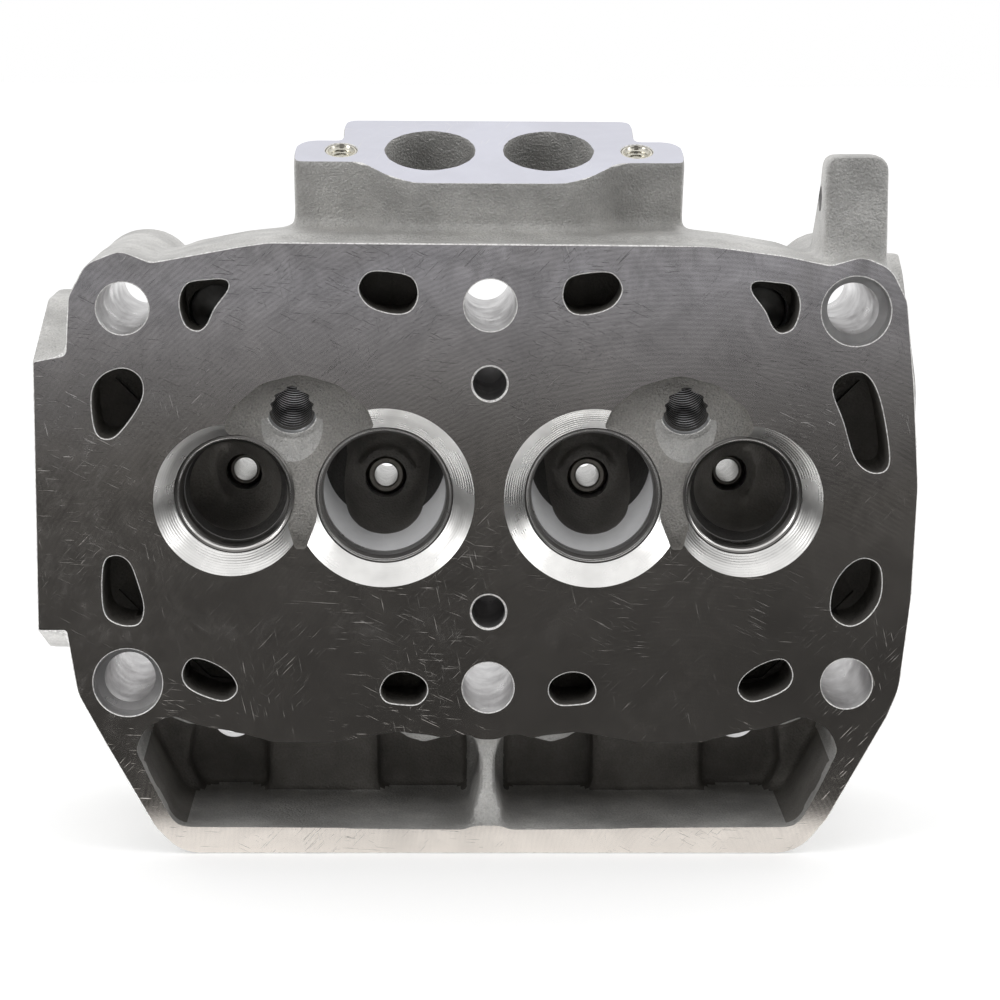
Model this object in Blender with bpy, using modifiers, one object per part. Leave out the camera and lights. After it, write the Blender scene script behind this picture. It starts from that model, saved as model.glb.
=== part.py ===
"""Two-cylinder water-cooled pushrod cylinder head for a flat-four engine, bare and freshly machined.

Frame: +X to the right along the crankshaft, +Y into the head (away from the cylinders), +Z up.
The milled sealing face is the plane Y = 0 and Z = 0 is the line through the four valves.
Sizes are written in millimetres and turned into metres by MM.
"""
import bpy
import bmesh
from math import atan2, cos, radians, sin, tan
from mathutils import Matrix, Vector

MM = 0.001
WELD = 0.00001                  # metres, points closer than this are merged
GAP = 0.3                       # clearance left between two pieces that touch on the real head

# ---- driving dimensions (mm) ---------------------------------------------------------------------
DECK_DEPTH = 46.0               # thickness of the full-outline part behind the sealing face
HEAD_DEPTH = 96.0               # sealing face to rocker-cover rim
STUD_BOSS_DEPTH = 89.0          # sealing face to the upper nut seats
CHAMBER_FLOOR = 58.0            # sealing face to the floor of the rocker chamber
BASE_Z = -113.3                 # underside that the head stands on
OVERCUT = 4.0                   # how far a cutter runs past the faces it opens

STUD_X = 112.0                  # outer head-stud columns
STUD_Z = 58.4                   # head-stud rows, above and below the valve line
STUD_MID_Z = 59.8
STUD_BORE_R = 8.0
TOWER_START = 30.0              # the stud towers and webs start inside the deck
CORNER_TOWER_R = 15.0
MIDDLE_TOWER_R = 14.0
WEB_END = 83.0
LOWER_BOSS_R = 13.0             # nut boss of the lower middle stud, on the rocker-chamber floor
LOWER_BOSS_END = 72.0
DOWEL_R = 10.7                  # counterbore for a locating sleeve
DOWEL_DEPTH = 8.0
CENTRE_HOLE_Z = 35.7
CENTRE_HOLE_R = 5.5
CENTRE_HOLE_DEPTH = 40.0

INTAKE_X = 32.4
EXHAUST_X = 79.0
RELIEF_DEPTH = 5.3              # sealing face to the top of each valve-seat ring
INTAKE_RELIEF_R = 27.9
EXHAUST_RELIEF_R = 23.6
INTAKE_SEAT_R = 21.3
EXHAUST_SEAT_R = 18.6
INTAKE_THROAT_R = 19.3
EXHAUST_THROAT_R = 16.2
SEAT_HEIGHT = 7.5
EXHAUST_LEAN_IN = 1.8           # degrees, valve axis towards the middle of the head
EXHAUST_LEAN_UP = 2.2           # degrees, valve axis towards the top
GUIDE_START = 44.0              # along the valve axis, from the sealing face
GUIDE_END = 84.0
INTAKE_GUIDE_R = 6.6
EXHAUST_GUIDE_R = 5.8
GUIDE_BORE_R = 3.7
GUIDE_LEAD = 1.2                # chamfer at each end of a guide
SPRING_PAD_R = 18.0
SPRING_PAD_END = 66.0
GUIDE_BOSS_R = 10.5
GUIDE_BOSS_END = 73.0
SEAT_CHAMFER = 1.6

CHAMBER_DEPTH = 5.4
PLUG_X = 60.8
PLUG_Z = 23.4                   # where the plug axis crosses the sealing face
PLUG_TILT = 27.0                # degrees, rising away from the cylinders
PLUG_THREAD_R = 7.0
PLUG_MOUTH = 5.0                # along the plug axis, where the countersink ends and the thread starts
PLUG_MOUTH_R = 7.5
PLUG_MOUTH_ANGLE = 48.0         # degrees, half angle of the countersink
PLUG_REACH = 26.0
PLUG_WELL_R = 11.5
PLUG_BOSS_R = 15.0
PLUG_BOSS_START = 30.0
PLUG_BOSS_END = 72.0

FLANGE_TILT = 22.0              # degrees, the intake flange faces up and towards the cylinders
FLANGE_FRONT_Y = 12.0
FLANGE_FRONT_Z = 95.9
PORT_X = 18.5
PORT_V = 23.4                   # up the flange face from its front edge to the port centres
PORT_R = 14.0
FLANGE_HOLE_X = 46.3
FLANGE_INSERT_R = 5.0
FLANGE_INSERT_LENGTH = 16.0
INSERT_BORE_R = 3.4
INSERT_SINK = 0.4               # how far an insert sits below its face
INSERT_LEAD = 0.7               # chamfer into the insert's bore

EXHAUST_PORT_Y = 40.0
EXHAUST_PORT_R = 14.0
EXHAUST_HOLE_Z = 34.0
EXHAUST_HOLE_DEPTH = 18.0
PAD_ROOT_X = 116.0              # where the pads start inside the casting
LEFT_PAD_X = -139.5
RIGHT_PAD_X = 132.8

WINDOW_PANEL_Y = 44.0           # back of the pushrod window between the tube pockets
WINDOW_FLOOR_Z = -105.3
INNER_POCKET_Y = 50.0
OUTER_POCKET_Y = 52.0
PUSHROD_X = (19.5, 82.5)
PUSHROD_Z = -82.0
PUSHROD_R = 7.0

ROCKER_STUD_X = (35.0, 77.0)
ROCKER_STUD_Z = -34.0
ROCKER_STUD_R = 4.0
ROCKER_STUD_START = 60.0
ROCKER_STUD_END = 104.0
ROCKER_STUD_LEAD = 0.8          # chamfer at each end of a stud
ROCKER_BOSS_R = 9.0
ROCKER_BOSS_END = 78.0
CORE_PLUG_X = 86.0
CORE_PLUG_Z = 55.0
CORE_PLUG_R = 8.0
CORE_PLUG_WALL = 1.5
CORE_PLUG_START = 32.0
LUG_FRONT_Y = 7.0
LUG_BACK_Y = 43.0
LUG_HOLE_Y = 21.0
LUG_HOLE_Z = 91.5
LUG_HOLE_R = 4.3

VALVE_ROUND = 32                # facets round the valve reliefs and seats
ROUND = 24                      # facets round a large bore
SMALL_ROUND = 16                # facets round a small one
FILLET_FACETS = 3               # facets in each rounded corner of an outline

# ---- outlines: (x, z, corner radius) on the sealing face -----------------------------------------
FACE_OUTLINE = (
    (LEFT_PAD_X, -42, 1), (LEFT_PAD_X, 42, 1), (-129.5, 44, 2), (-128.4, 62, 6), (-123, 72, 8),
    (-112.5, 76.2, 7), (-103.2, 72.4, 5), (-76.4, 77.4, 60), (-67.6, 78.7, 20), (66.9, 78.2, 60),
    (90.3, 75.2, 40), (103.9, 72.4, 6), (113.5, 75.3, 8), (122.5, 71.5, 9), (127.6, 61.5, 8),
    (130.4, 35.5, 60), (132.6, 4, 60), (131.5, -31.4, 60), (128.5, -60, 20), (125, -69, 12),
    (107, -102, 16), (98, BASE_Z, 18), (-96, BASE_Z, 18), (-104, -105, 14), (-119.3, -77.6, 12),
    (-127.6, -62, 16), (-130.8, -42, 1),
)
WINDOW_RIGHT = (
    (4.9, -74.9, 1), (11.5, -75.2, 1.5), (12.8, -76.1, 1), (27.7, -74.0, 8), (48, -77.6, 20),
    (66.5, -77.6, 10), (76, -74.9, 8), (91, -72.0, 8), (98.5, -68.6, 5), (106.5, -73.0, 4),
    (109.8, -79.5, 3.5), (104.7, -90.7, 10), (97.5, -104.6, 6), (4.9, WINDOW_FLOOR_Z, 1.5), (4.9, -101, 2),
    (2.4, -93, 6), (2.4, -83, 6),
)
ROCKER_BOX = (
    (-90, BASE_Z, 6), (-106, -84, 18), (-106, 38, 16), (106, 38, 16), (106, -84, 18), (90, BASE_Z, 6),
)
ROCKER_CHAMBER = (
    (-84, -104, 8), (-98, -80, 14), (-98, 29, 10), (98, 29, 10), (98, -80, 14), (84, -104, 8),
)
EXHAUST_NECK = ((30, -38, 8), (30, 38, 8), (82, 38, 10), (82, -38, 10))     # (y, z, corner radius)
NECK_INNER_X = 95.0
NECK_OUTER_X = 118.0
PORT_BLOCK = ((-48, 20, 4), (-48, 84, 8), (48, 84, 8), (48, 20, 4))
PORT_BLOCK_START = 40.0
PORT_BLOCK_END = 64.0
TOWER_WEB = ((98, 30, 1), (98, 60, 1), (114, 60, 1), (114, 30, 1))
MIDDLE_WEB = ((-7, 30, 1), (-7, 58, 1), (7, 58, 1), (7, 30, 1))
INNER_POCKET = ((6, -104.8, 2), (6, -77, 4), (35, -77, 4), (35, -104.8, 2))
OUTER_POCKET = ((71, -104.8, 2), (71, -76, 4), (94, -75, 6), (97, -96, 8), (92, -104.8, 2))
CHAMBER_POCKET = ((82, 21, 4), (79, 28, 6), (70, 35.5, 9), (58, 38.6, 12), (46, 35, 9), (37.5, 28, 6),
                  (35, 20, 4), (48, 6, 6), (56.6, -15.9, 1), (59.8, -15.9, 1), (68, 6, 6))
LUG_BACK = ((22, 112, 0.5), (22, 99, 6), (41, 80.5, 2), (60, 80.5, 0.5),
            (60, 112, 0.5))     # (y, z, radius)
LUG_OUTLINE = ((102.6, 60, 1), (102.6, 105.2, 3), (121.9, 105.2, 3), (122.6, 60, 1))
INTAKE_FLANGE = (               # (x, distance up the flange face, corner radius)
    (-24, 0, 12), (24, 0, 12), (33, 6.5, 12), (40, 14.7, 5), (59.5, 14.7, 1), (59.5, 30.6, 7),
    (46, 30.6, 2), (46, 45.5, 4), (-46, 45.5, 4), (-46, 30.6, 2), (-59.5, 30.6, 7), (-59.5, 14.7, 1),
    (-40, 14.7, 5), (-33, 6.5, 12),
)
INTAKE_BLOCK_DEPTH = 34.0
LEFT_PAD = (                    # (y, z, corner radius) seen from the end
    (0, -42, 1), (0, 42, 1), (42, 57, 10), (72, 57, 10), (90, 46, 12), (90, -46, 12), (72, -57, 10),
    (30, -54, 10),
)
RIGHT_PAD = (
    (12, -34, 8), (12, 34, 8), (46, 66, 8), (58, 72, 4), (66, 66, 8), (90, 34, 12), (90, -34, 12),
    (66, -54, 10), (30, -54, 10),
)

# Coolant slots: points of a smooth closed loop (x, z).  Four have a mirrored twin on the other cylinder.
TWIN_SLOTS = {
    "upper_outer": ((94.6, 60.3), (92.4, 65.8), (86.7, 67.1), (80.7, 67.2), (79.9, 64.3), (84.1, 58.5),
                    (86.6, 53.4), (89.4, 51.7), (93, 53.7)),
    "upper_inner": ((40.1, 64.7), (37.2, 69.5), (30.8, 69.8), (24, 68), (22.2, 62.6), (24.6, 58),
                    (29.8, 57.2), (36.9, 59.5)),
    "lower_outer": ((94.9, -55.1), (92, -50.8), (85.6, -52.2), (79.7, -56.4), (78.3, -61), (82, -64),
                    (88, -62.6), (93.5, -59.5)),
    "lower_inner": ((33.5, -60.5), (30.7, -56), (25.2, -55), (20.1, -57.5), (19, -61.5), (21.8, -65),
                    (27, -65.2), (31.8, -64.2)),
}
SINGLE_SLOTS = {
    "left_upper": ((-121.7, 31.8), (-118.4, 37.7), (-112, 40), (-106.9, 37.1), (-106.4, 31), (-111, 23.2),
                   (-116, 18.4), (-120.6, 20.4)),
    "left_lower": ((-118.9, -21.4), (-115.3, -18.3), (-111.1, -20.4), (-108.4, -27.4), (-106.8, -34.6),
                   (-108.6, -39.7), (-114.7, -39.7), (-119, -35.3)),
    "right_upper": ((105.4, 34.2), (108.9, 38.9), (115.4, 38.9), (119.9, 31.2), (123.1, 15.6), (122.4, 9.4),
                    (117.5, 8.7), (112.7, 13.1), (109, 24.3)),
    "right_lower": ((110.8, -21.8), (116.3, -18.6), (121.4, -21.5), (121.7, -30.7), (117.8, -37.3),
                    (112.2, -39.9), (106.9, -36.4), (107, -28.5)),
}
SLOT_DEPTH = 24.0
# Water galleries behind the slots: centre line (x, z) of a channel that joins the slots of one corner.
GALLERIES = {
    "upper": ((30, 63), (60, 62), (85, 58), (99, 44), (113, 30)),
    "lower": ((27, -60), (60, -60), (86, -57), (99, -44), (113, -30)),
}
GALLERY_WIDTH = 11.0
GALLERY_START = 14.0
GALLERY_END = 26.0

# ---- colours -------------------------------------------------------------------------------------
CAST_ALUMINIUM = ((0.56, 0.56, 0.55), 0.5, 1.0)
SINTERED_STEEL = ((0.34, 0.34, 0.34), 0.32, 1.0)
GUIDE_BRONZE = ((0.42, 0.4, 0.36), 0.35, 1.0)
STAINLESS = ((0.62, 0.61, 0.58), 0.3, 1.0)
ZINC_STEEL = ((0.55, 0.56, 0.58), 0.35, 1.0)
PLUG_STEEL = ((0.5, 0.5, 0.5), 0.45, 1.0)


# ---- helpers -------------------------------------------------------------------------------------
def make_collection(name):
    group = bpy.data.collections.new(name)
    bpy.context.scene.collection.children.link(group)
    return group


def make_material(name, finish):
    colour, roughness, metallic = finish
    material = bpy.data.materials.new(name)
    material.use_nodes = True
    shader = material.node_tree.nodes["Principled BSDF"]
    shader.inputs["Base Color"].default_value = (*colour, 1.0)
    shader.inputs["Roughness"].default_value = roughness
    shader.inputs["Metallic"].default_value = metallic
    material.diffuse_color = (*colour, 1.0)
    return material


def rounded(corners):
    """Points of a closed outline whose corners are replaced by arcs of their own radius."""
    points = []
    for i, (bx, bz, radius) in enumerate(corners):
        ax, az, _ = corners[i - 1]
        cx, cz, _ = corners[(i + 1) % len(corners)]
        to_last = Vector((ax - bx, az - bz))
        to_next = Vector((cx - bx, cz - bz))
        angle = to_last.angle(to_next)
        tangent = min(radius / tan(angle / 2), 0.49 * to_last.length, 0.49 * to_next.length)
        arc = tangent * tan(angle / 2)
        to_last.normalize()
        to_next.normalize()
        corner = Vector((bx, bz))
        centre = corner + (to_last + to_next).normalized() * arc / sin(angle / 2)
        start = corner + to_last * tangent - centre
        turn = start.angle_signed(corner + to_next * tangent - centre)
        for k in range(FILLET_FACETS + 1):
            a = atan2(start.y, start.x) - turn * k / FILLET_FACETS
            points.append((centre.x + arc * cos(a), centre.y + arc * sin(a)))
    return points


def mirrored(corners):
    """The same outline on the other cylinder."""
    return tuple((-corner[0], *corner[1:]) for corner in reversed(corners))


def to_mesh(curve_object, group):
    """Turn a curve object into a closed mesh object at the same place."""
    bpy.context.view_layer.update()
    depsgraph = bpy.context.evaluated_depsgraph_get()
    mesh = bpy.data.meshes.new_from_object(curve_object.evaluated_get(depsgraph))
    name = curve_object.name
    matrix = curve_object.matrix_world.copy()
    bpy.data.objects.remove(curve_object)
    work = bmesh.new()
    work.from_mesh(mesh)
    bmesh.ops.remove_doubles(work, verts=work.verts, dist=WELD)
    bmesh.ops.recalc_face_normals(work, faces=work.faces)
    work.to_mesh(mesh)
    work.free()
    solid = bpy.data.objects.new(name, mesh)
    solid.matrix_world = matrix
    group.objects.link(solid)
    return solid


# Three ways to lay out an outline: columns are its first axis, its second axis and the extrusion.
PLANES = {
    "face": Matrix(((1, 0, 0), (0, 0, -1), (0, 1, 0))),
    "plan": Matrix(((1, 0, 0), (0, 1, 0), (0, 0, 1))),
    "end": Matrix(((0, 0, 1), (1, 0, 0), (0, 1, 0))),
}
DEPTH_AXIS = {"face": Vector((0, 1, 0)), "plan": Vector((0, 0, 1)), "end": Vector((1, 0, 0))}


def prism(name, group, points, low, high, plane="face", smooth=False):
    """A flat outline (mm) extruded between two depths along the plane's depth axis."""
    curve = bpy.data.curves.new(name, "CURVE")
    curve.dimensions = "2D"
    curve.fill_mode = "BOTH"
    curve.extrude = (high - low) / 2 * MM
    curve.resolution_u = 2
    spline = curve.splines.new("BEZIER" if smooth else "POLY")
    nodes = spline.bezier_points if smooth else spline.points
    nodes.add(len(points) - 1)
    for node, (a, b) in zip(nodes, points):
        if smooth:
            node.co = (a * MM, b * MM, 0)
            node.handle_left_type = "AUTO"
            node.handle_right_type = "AUTO"
        else:
            node.co = (a * MM, b * MM, 0, 1)
    spline.use_cyclic_u = True
    piece = bpy.data.objects.new(name, curve)
    bpy.context.scene.collection.objects.link(piece)
    offset = DEPTH_AXIS[plane] * (low + high) / 2 * MM
    piece.matrix_world = Matrix.Translation(offset) @ PLANES[plane].to_4x4()
    return to_mesh(piece, group)


def rod(name, group, start, end, radius, end_radius=None, facets=ROUND):
    """A straight round solid from start to end (mm), tapered when end_radius is given."""
    start, end = Vector(start), Vector(end)
    span = end - start
    mesh = bpy.data.meshes.new(name)
    work = bmesh.new()
    bmesh.ops.create_cone(work, cap_ends=True, segments=facets, radius1=radius * MM,
                          radius2=(radius if end_radius is None else end_radius) * MM,
                          depth=span.length * MM)
    work.to_mesh(mesh)
    work.free()
    piece = bpy.data.objects.new(name, mesh)
    piece.matrix_world = Matrix.Translation((start + end) / 2 * MM) @ axis_turn(span)
    group.objects.link(piece)
    return piece


def axis_turn(direction):
    """Rotation that carries +Z onto a direction."""
    return Vector((0, 0, 1)).rotation_difference(Vector(direction)).to_matrix().to_4x4()


def duct(name, group, points, radius, facets_each_quarter=3):
    """A round passage that follows a smooth path (mm)."""
    curve = bpy.data.curves.new(name, "CURVE")
    curve.dimensions = "3D"
    curve.bevel_depth = radius * MM
    curve.bevel_resolution = facets_each_quarter
    curve.resolution_u = 3
    curve.use_fill_caps = True
    spline = curve.splines.new("BEZIER")
    spline.bezier_points.add(len(points) - 1)
    for node, point in zip(spline.bezier_points, points):
        node.co = Vector(point) * MM
        node.handle_left_type = "AUTO"
        node.handle_right_type = "AUTO"
    piece = bpy.data.objects.new(name, curve)
    bpy.context.scene.collection.objects.link(piece)
    return to_mesh(piece, group)


def turned(name, group, profile, finish, base, direction, facets=SMALL_ROUND, ring=True):
    """A turned piece: profile is (radius, height) in mm.  Without ring it starts and ends on the axis."""
    mesh = bpy.data.meshes.new(name)
    work = bmesh.new()
    verts = [work.verts.new((radius * MM, 0, height * MM)) for radius, height in profile]
    for a, b in zip(verts, verts[1:]):
        work.edges.new((a, b))
    if ring:
        work.edges.new((verts[-1], verts[0]))
    work.to_mesh(mesh)
    work.free()
    piece = bpy.data.objects.new(name, mesh)
    group.objects.link(piece)
    screw = piece.modifiers.new("turn", "SCREW")
    screw.steps = facets
    screw.render_steps = facets
    screw.use_merge_vertices = True
    screw.merge_threshold = WELD
    screw.use_smooth_shade = True
    piece.matrix_world = Matrix.Translation(Vector(base) * MM) @ axis_turn(direction)
    mesh.materials.append(make_material(name, finish))


def boolean(target, operation, operands):
    """Join or cut with every solid of a collection, and hide those solids."""
    step = target.modifiers.new(operation.lower(), "BOOLEAN")
    step.operation = operation
    step.solver = "MANIFOLD"    # EXACT drops one of the overlapping stud towers
    step.operand_type = "COLLECTION"
    step.collection = operands
    for helper in operands.objects:
        helper.hide_render = True
        helper.display_type = "WIRE"


def along(base, direction, distance):
    return Vector(base) + Vector(direction).normalized() * distance


# ---- axes shared by the casting and the pieces in it ---------------------------------------------
FLANGE_UP = Vector((0, cos(radians(FLANGE_TILT)), sin(radians(FLANGE_TILT))))
FLANGE_NORMAL = Vector((0, -sin(radians(FLANGE_TILT)), cos(radians(FLANGE_TILT))))
FLANGE_FRONT = Vector((0, FLANGE_FRONT_Y, FLANGE_FRONT_Z))
FLANGE_FRAME = Matrix.Translation(FLANGE_FRONT * MM) @ Matrix.Rotation(radians(FLANGE_TILT), 4, "X")
PLUG_AXIS = Vector((0, cos(radians(PLUG_TILT)), sin(radians(PLUG_TILT))))


def flange_point(x, up):
    return FLANGE_FRONT + Vector((x, 0, 0)) + FLANGE_UP * up


def pad_x(side):
    return LEFT_PAD_X if side < 0 else RIGHT_PAD_X


def valve_axis(kind, side):
    if kind == "intake":
        return Vector((0, 1, 0))
    return Vector((-side * tan(radians(EXHAUST_LEAN_IN)), 1, tan(radians(EXHAUST_LEAN_UP)))).normalized()


VALVES = {
    "intake": (INTAKE_X, INTAKE_RELIEF_R, INTAKE_SEAT_R, INTAKE_THROAT_R, INTAKE_GUIDE_R),
    "exhaust": (EXHAUST_X, EXHAUST_RELIEF_R, EXHAUST_SEAT_R, EXHAUST_THROAT_R, EXHAUST_GUIDE_R),
}
SIDES = {"left": -1, "right": 1}


# ---- the casting ---------------------------------------------------------------------------------
def side_prism(name, group, outline, side, inner, outer):
    """An end-plane outline extruded between two distances from the centre, on one side."""
    prism(name, group, rounded(outline), min(side * inner, side * outer), max(side * inner, side * outer),
          "end")


def on_side(outline, side):
    return outline if side > 0 else mirrored(outline)


def shell_solids(group):
    """Everything the rocker chamber and the pushrod window are cut out of."""
    overlap = 4
    prism("deck", group, rounded(FACE_OUTLINE), 0, DECK_DEPTH)
    prism("rocker_box", group, rounded(ROCKER_BOX), DECK_DEPTH - overlap, HEAD_DEPTH)
    side_prism("left_pad", group, LEFT_PAD, -1, PAD_ROOT_X, -LEFT_PAD_X)
    side_prism("right_pad", group, RIGHT_PAD, 1, PAD_ROOT_X, RIGHT_PAD_X)
    block = prism("intake_block", group, rounded(INTAKE_FLANGE), -INTAKE_BLOCK_DEPTH, 0, "plan")
    block.matrix_world = FLANGE_FRAME @ block.matrix_world
    prism("port_block", group, rounded(PORT_BLOCK), PORT_BLOCK_START, PORT_BLOCK_END)
    prism("lug", group, rounded(LUG_OUTLINE), LUG_FRONT_Y, LUG_BACK_Y)
    for side in SIDES.values():
        side_prism("exhaust_neck", group, EXHAUST_NECK, side, NECK_INNER_X, NECK_OUTER_X)
        mouth = Vector((side * PLUG_X, 0, PLUG_Z))
        rod("plug_boss", group, along(mouth, PLUG_AXIS, PLUG_BOSS_START),
            along(mouth, PLUG_AXIS, PLUG_BOSS_END), PLUG_BOSS_R)
        for z in (STUD_Z, -STUD_Z):
            rod("corner_tower", group, (side * STUD_X, TOWER_START, z), (side * STUD_X, STUD_BOSS_DEPTH, z),
                CORNER_TOWER_R)
        prism("tower_web", group, rounded(on_side(TOWER_WEB, side)), TOWER_START, WEB_END)
    rod("middle_tower", group, (0, TOWER_START, STUD_MID_Z), (0, STUD_BOSS_DEPTH, STUD_MID_Z),
        MIDDLE_TOWER_R)
    prism("middle_web", group, rounded(MIDDLE_WEB), TOWER_START, WEB_END)


def shell_cuts(group):
    """The rocker chamber, open at the back, and the two pushrod windows with their tube pockets."""
    pocket_start = WINDOW_PANEL_Y - 6
    prism("rocker_chamber", group, rounded(ROCKER_CHAMBER), CHAMBER_FLOOR, HEAD_DEPTH + OVERCUT)
    for side in SIDES.values():
        prism("window", group, rounded(on_side(WINDOW_RIGHT, side)), -OVERCUT, WINDOW_PANEL_Y)
        prism("inner_pocket", group, rounded(on_side(INNER_POCKET, side)), pocket_start, INNER_POCKET_Y)
        prism("outer_pocket", group, rounded(on_side(OUTER_POCKET, side)), pocket_start, OUTER_POCKET_Y)


def boss_solids(group):
    """Bosses that stand on the floor of the rocker chamber."""
    floor = CHAMBER_FLOOR - 2
    for side in SIDES.values():
        for kind, (x, *_sizes) in VALVES.items():
            axis = valve_axis(kind, side)
            start = Vector((side * x, 0, 0))
            rod("spring_pad", group, along(start, axis, floor), along(start, axis, SPRING_PAD_END),
                SPRING_PAD_R)
            rod("guide_boss", group, along(start, axis, floor), along(start, axis, GUIDE_BOSS_END),
                GUIDE_BOSS_R)
        for x in ROCKER_STUD_X:
            rod("rocker_boss", group, (side * x, floor, ROCKER_STUD_Z),
                (side * x, ROCKER_BOSS_END, ROCKER_STUD_Z), ROCKER_BOSS_R)
    rod("lower_middle_boss", group, (0, floor, -STUD_MID_Z), (0, LOWER_BOSS_END, -STUD_MID_Z), LOWER_BOSS_R)


def slot_and_gallery_cuts(group):
    for name, loop in TWIN_SLOTS.items():
        for side in SIDES.values():
            prism(f"slot_{name}", group, on_side(loop, side), -OVERCUT, SLOT_DEPTH, smooth=True)
    for name, loop in SINGLE_SLOTS.items():
        prism(f"slot_{name}", group, loop, -OVERCUT, SLOT_DEPTH, smooth=True)
    for side in SIDES.values():
        for name, line in GALLERIES.items():
            path = [Vector((side * x, z)) for x, z in line]
            prism(f"gallery_{name}", group, ribbon(path, GALLERY_WIDTH / 2), GALLERY_START, GALLERY_END)


def ribbon(path, half_width):
    """Outline of a channel of constant width along a bent centre line."""
    near, far = [], []
    for i, point in enumerate(path):
        ahead = path[min(i + 1, len(path) - 1)] - path[max(i - 1, 0)]
        across = Vector((-ahead.y, ahead.x)).normalized() * half_width
        near.append(tuple(point + across))
        far.append(tuple(point - across))
    return near + far[::-1]


def stud_cuts(group):
    for side in SIDES.values():
        for z in (STUD_Z, -STUD_Z):
            depth_bore("stud_bore", group, side * STUD_X, z, HEAD_DEPTH + OVERCUT, STUD_BORE_R)
            if side * z > 0:
                depth_bore("dowel_bore", group, side * STUD_X, z, DOWEL_DEPTH, DOWEL_R)
    for z in (STUD_MID_Z, -STUD_MID_Z):
        depth_bore("stud_bore", group, 0, z, HEAD_DEPTH + OVERCUT, STUD_BORE_R)
    for z in (CENTRE_HOLE_Z, -CENTRE_HOLE_Z):
        depth_bore("centre_hole", group, 0, z, CENTRE_HOLE_DEPTH, CENTRE_HOLE_R, SMALL_ROUND)


def depth_bore(name, group, x, z, depth, radius, facets=ROUND):
    """A hole from the sealing face, square to it."""
    rod(name, group, (x, -OVERCUT, z), (x, depth, z), radius, facets=facets)


def valve_cuts(group):
    """Relief cone, seat pocket, throat, guide bore and port of each valve."""
    throat_end = 27
    guide_cut_start = 20
    for side in SIDES.values():
        for kind, (x, relief_r, seat_r, throat_r, guide_r) in VALVES.items():
            axis = valve_axis(kind, side)
            face = Vector((side * x, 0, 0))
            slope = (relief_r - seat_r) / RELIEF_DEPTH
            rod("relief", group, along(face, axis, -OVERCUT), along(face, axis, RELIEF_DEPTH),
                relief_r + slope * OVERCUT, seat_r, facets=VALVE_ROUND)
            seat_bottom = RELIEF_DEPTH + SEAT_HEIGHT + 2 * GAP
            rod("seat_pocket", group, along(face, axis, RELIEF_DEPTH - 1), along(face, axis, seat_bottom),
                seat_r + GAP, facets=VALVE_ROUND)
            rod("throat", group, along(face, axis, seat_bottom - 1), along(face, axis, throat_end),
                throat_r - GAP, PORT_R + 1.5)
            rod("guide_bore", group, along(face, axis, guide_cut_start), along(face, axis, HEAD_DEPTH),
                guide_r + GAP, facets=SMALL_ROUND)
        mouth = flange_point(side * PORT_X, PORT_V)
        duct("intake_port", group, [
            mouth + FLANGE_NORMAL * 8, mouth, mouth - FLANGE_NORMAL * 16, (side * 24, 43, 55),
            (side * 30.5, 40, 20), (side * INTAKE_X, 29, 1), (side * INTAKE_X, 20, -1)], PORT_R)
        duct("exhaust_port", group, [
            (side * EXHAUST_X, 18, 0), (side * (EXHAUST_X + 2), 26, 0.5),
            (side * (EXHAUST_X + 18), 37, 0.5), (side * NECK_OUTER_X, EXHAUST_PORT_Y, 0),
            (pad_x(side) + side * OVERCUT, EXHAUST_PORT_Y, 0)], EXHAUST_PORT_R)


def chamber_cuts(group):
    """The shallow as-cast pocket that joins two valves, and the spark-plug hole with its well."""
    thread_run = 2
    for side in SIDES.values():
        prism("chamber", group, rounded(on_side(CHAMBER_POCKET, side)), -OVERCUT, CHAMBER_DEPTH)
        mouth = Vector((side * PLUG_X, 0, PLUG_Z))
        flare = (PLUG_MOUTH + OVERCUT) * tan(radians(PLUG_MOUTH_ANGLE))
        rod("plug_mouth", group, along(mouth, PLUG_AXIS, -OVERCUT), along(mouth, PLUG_AXIS, PLUG_MOUTH),
            PLUG_MOUTH_R + flare, PLUG_MOUTH_R)
        rod("plug_hole", group, along(mouth, PLUG_AXIS, -OVERCUT),
            along(mouth, PLUG_AXIS, PLUG_REACH + thread_run), PLUG_THREAD_R)
        rod("plug_well", group, along(mouth, PLUG_AXIS, PLUG_REACH),
            along(mouth, PLUG_AXIS, PLUG_BOSS_END + 12), PLUG_WELL_R)


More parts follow.
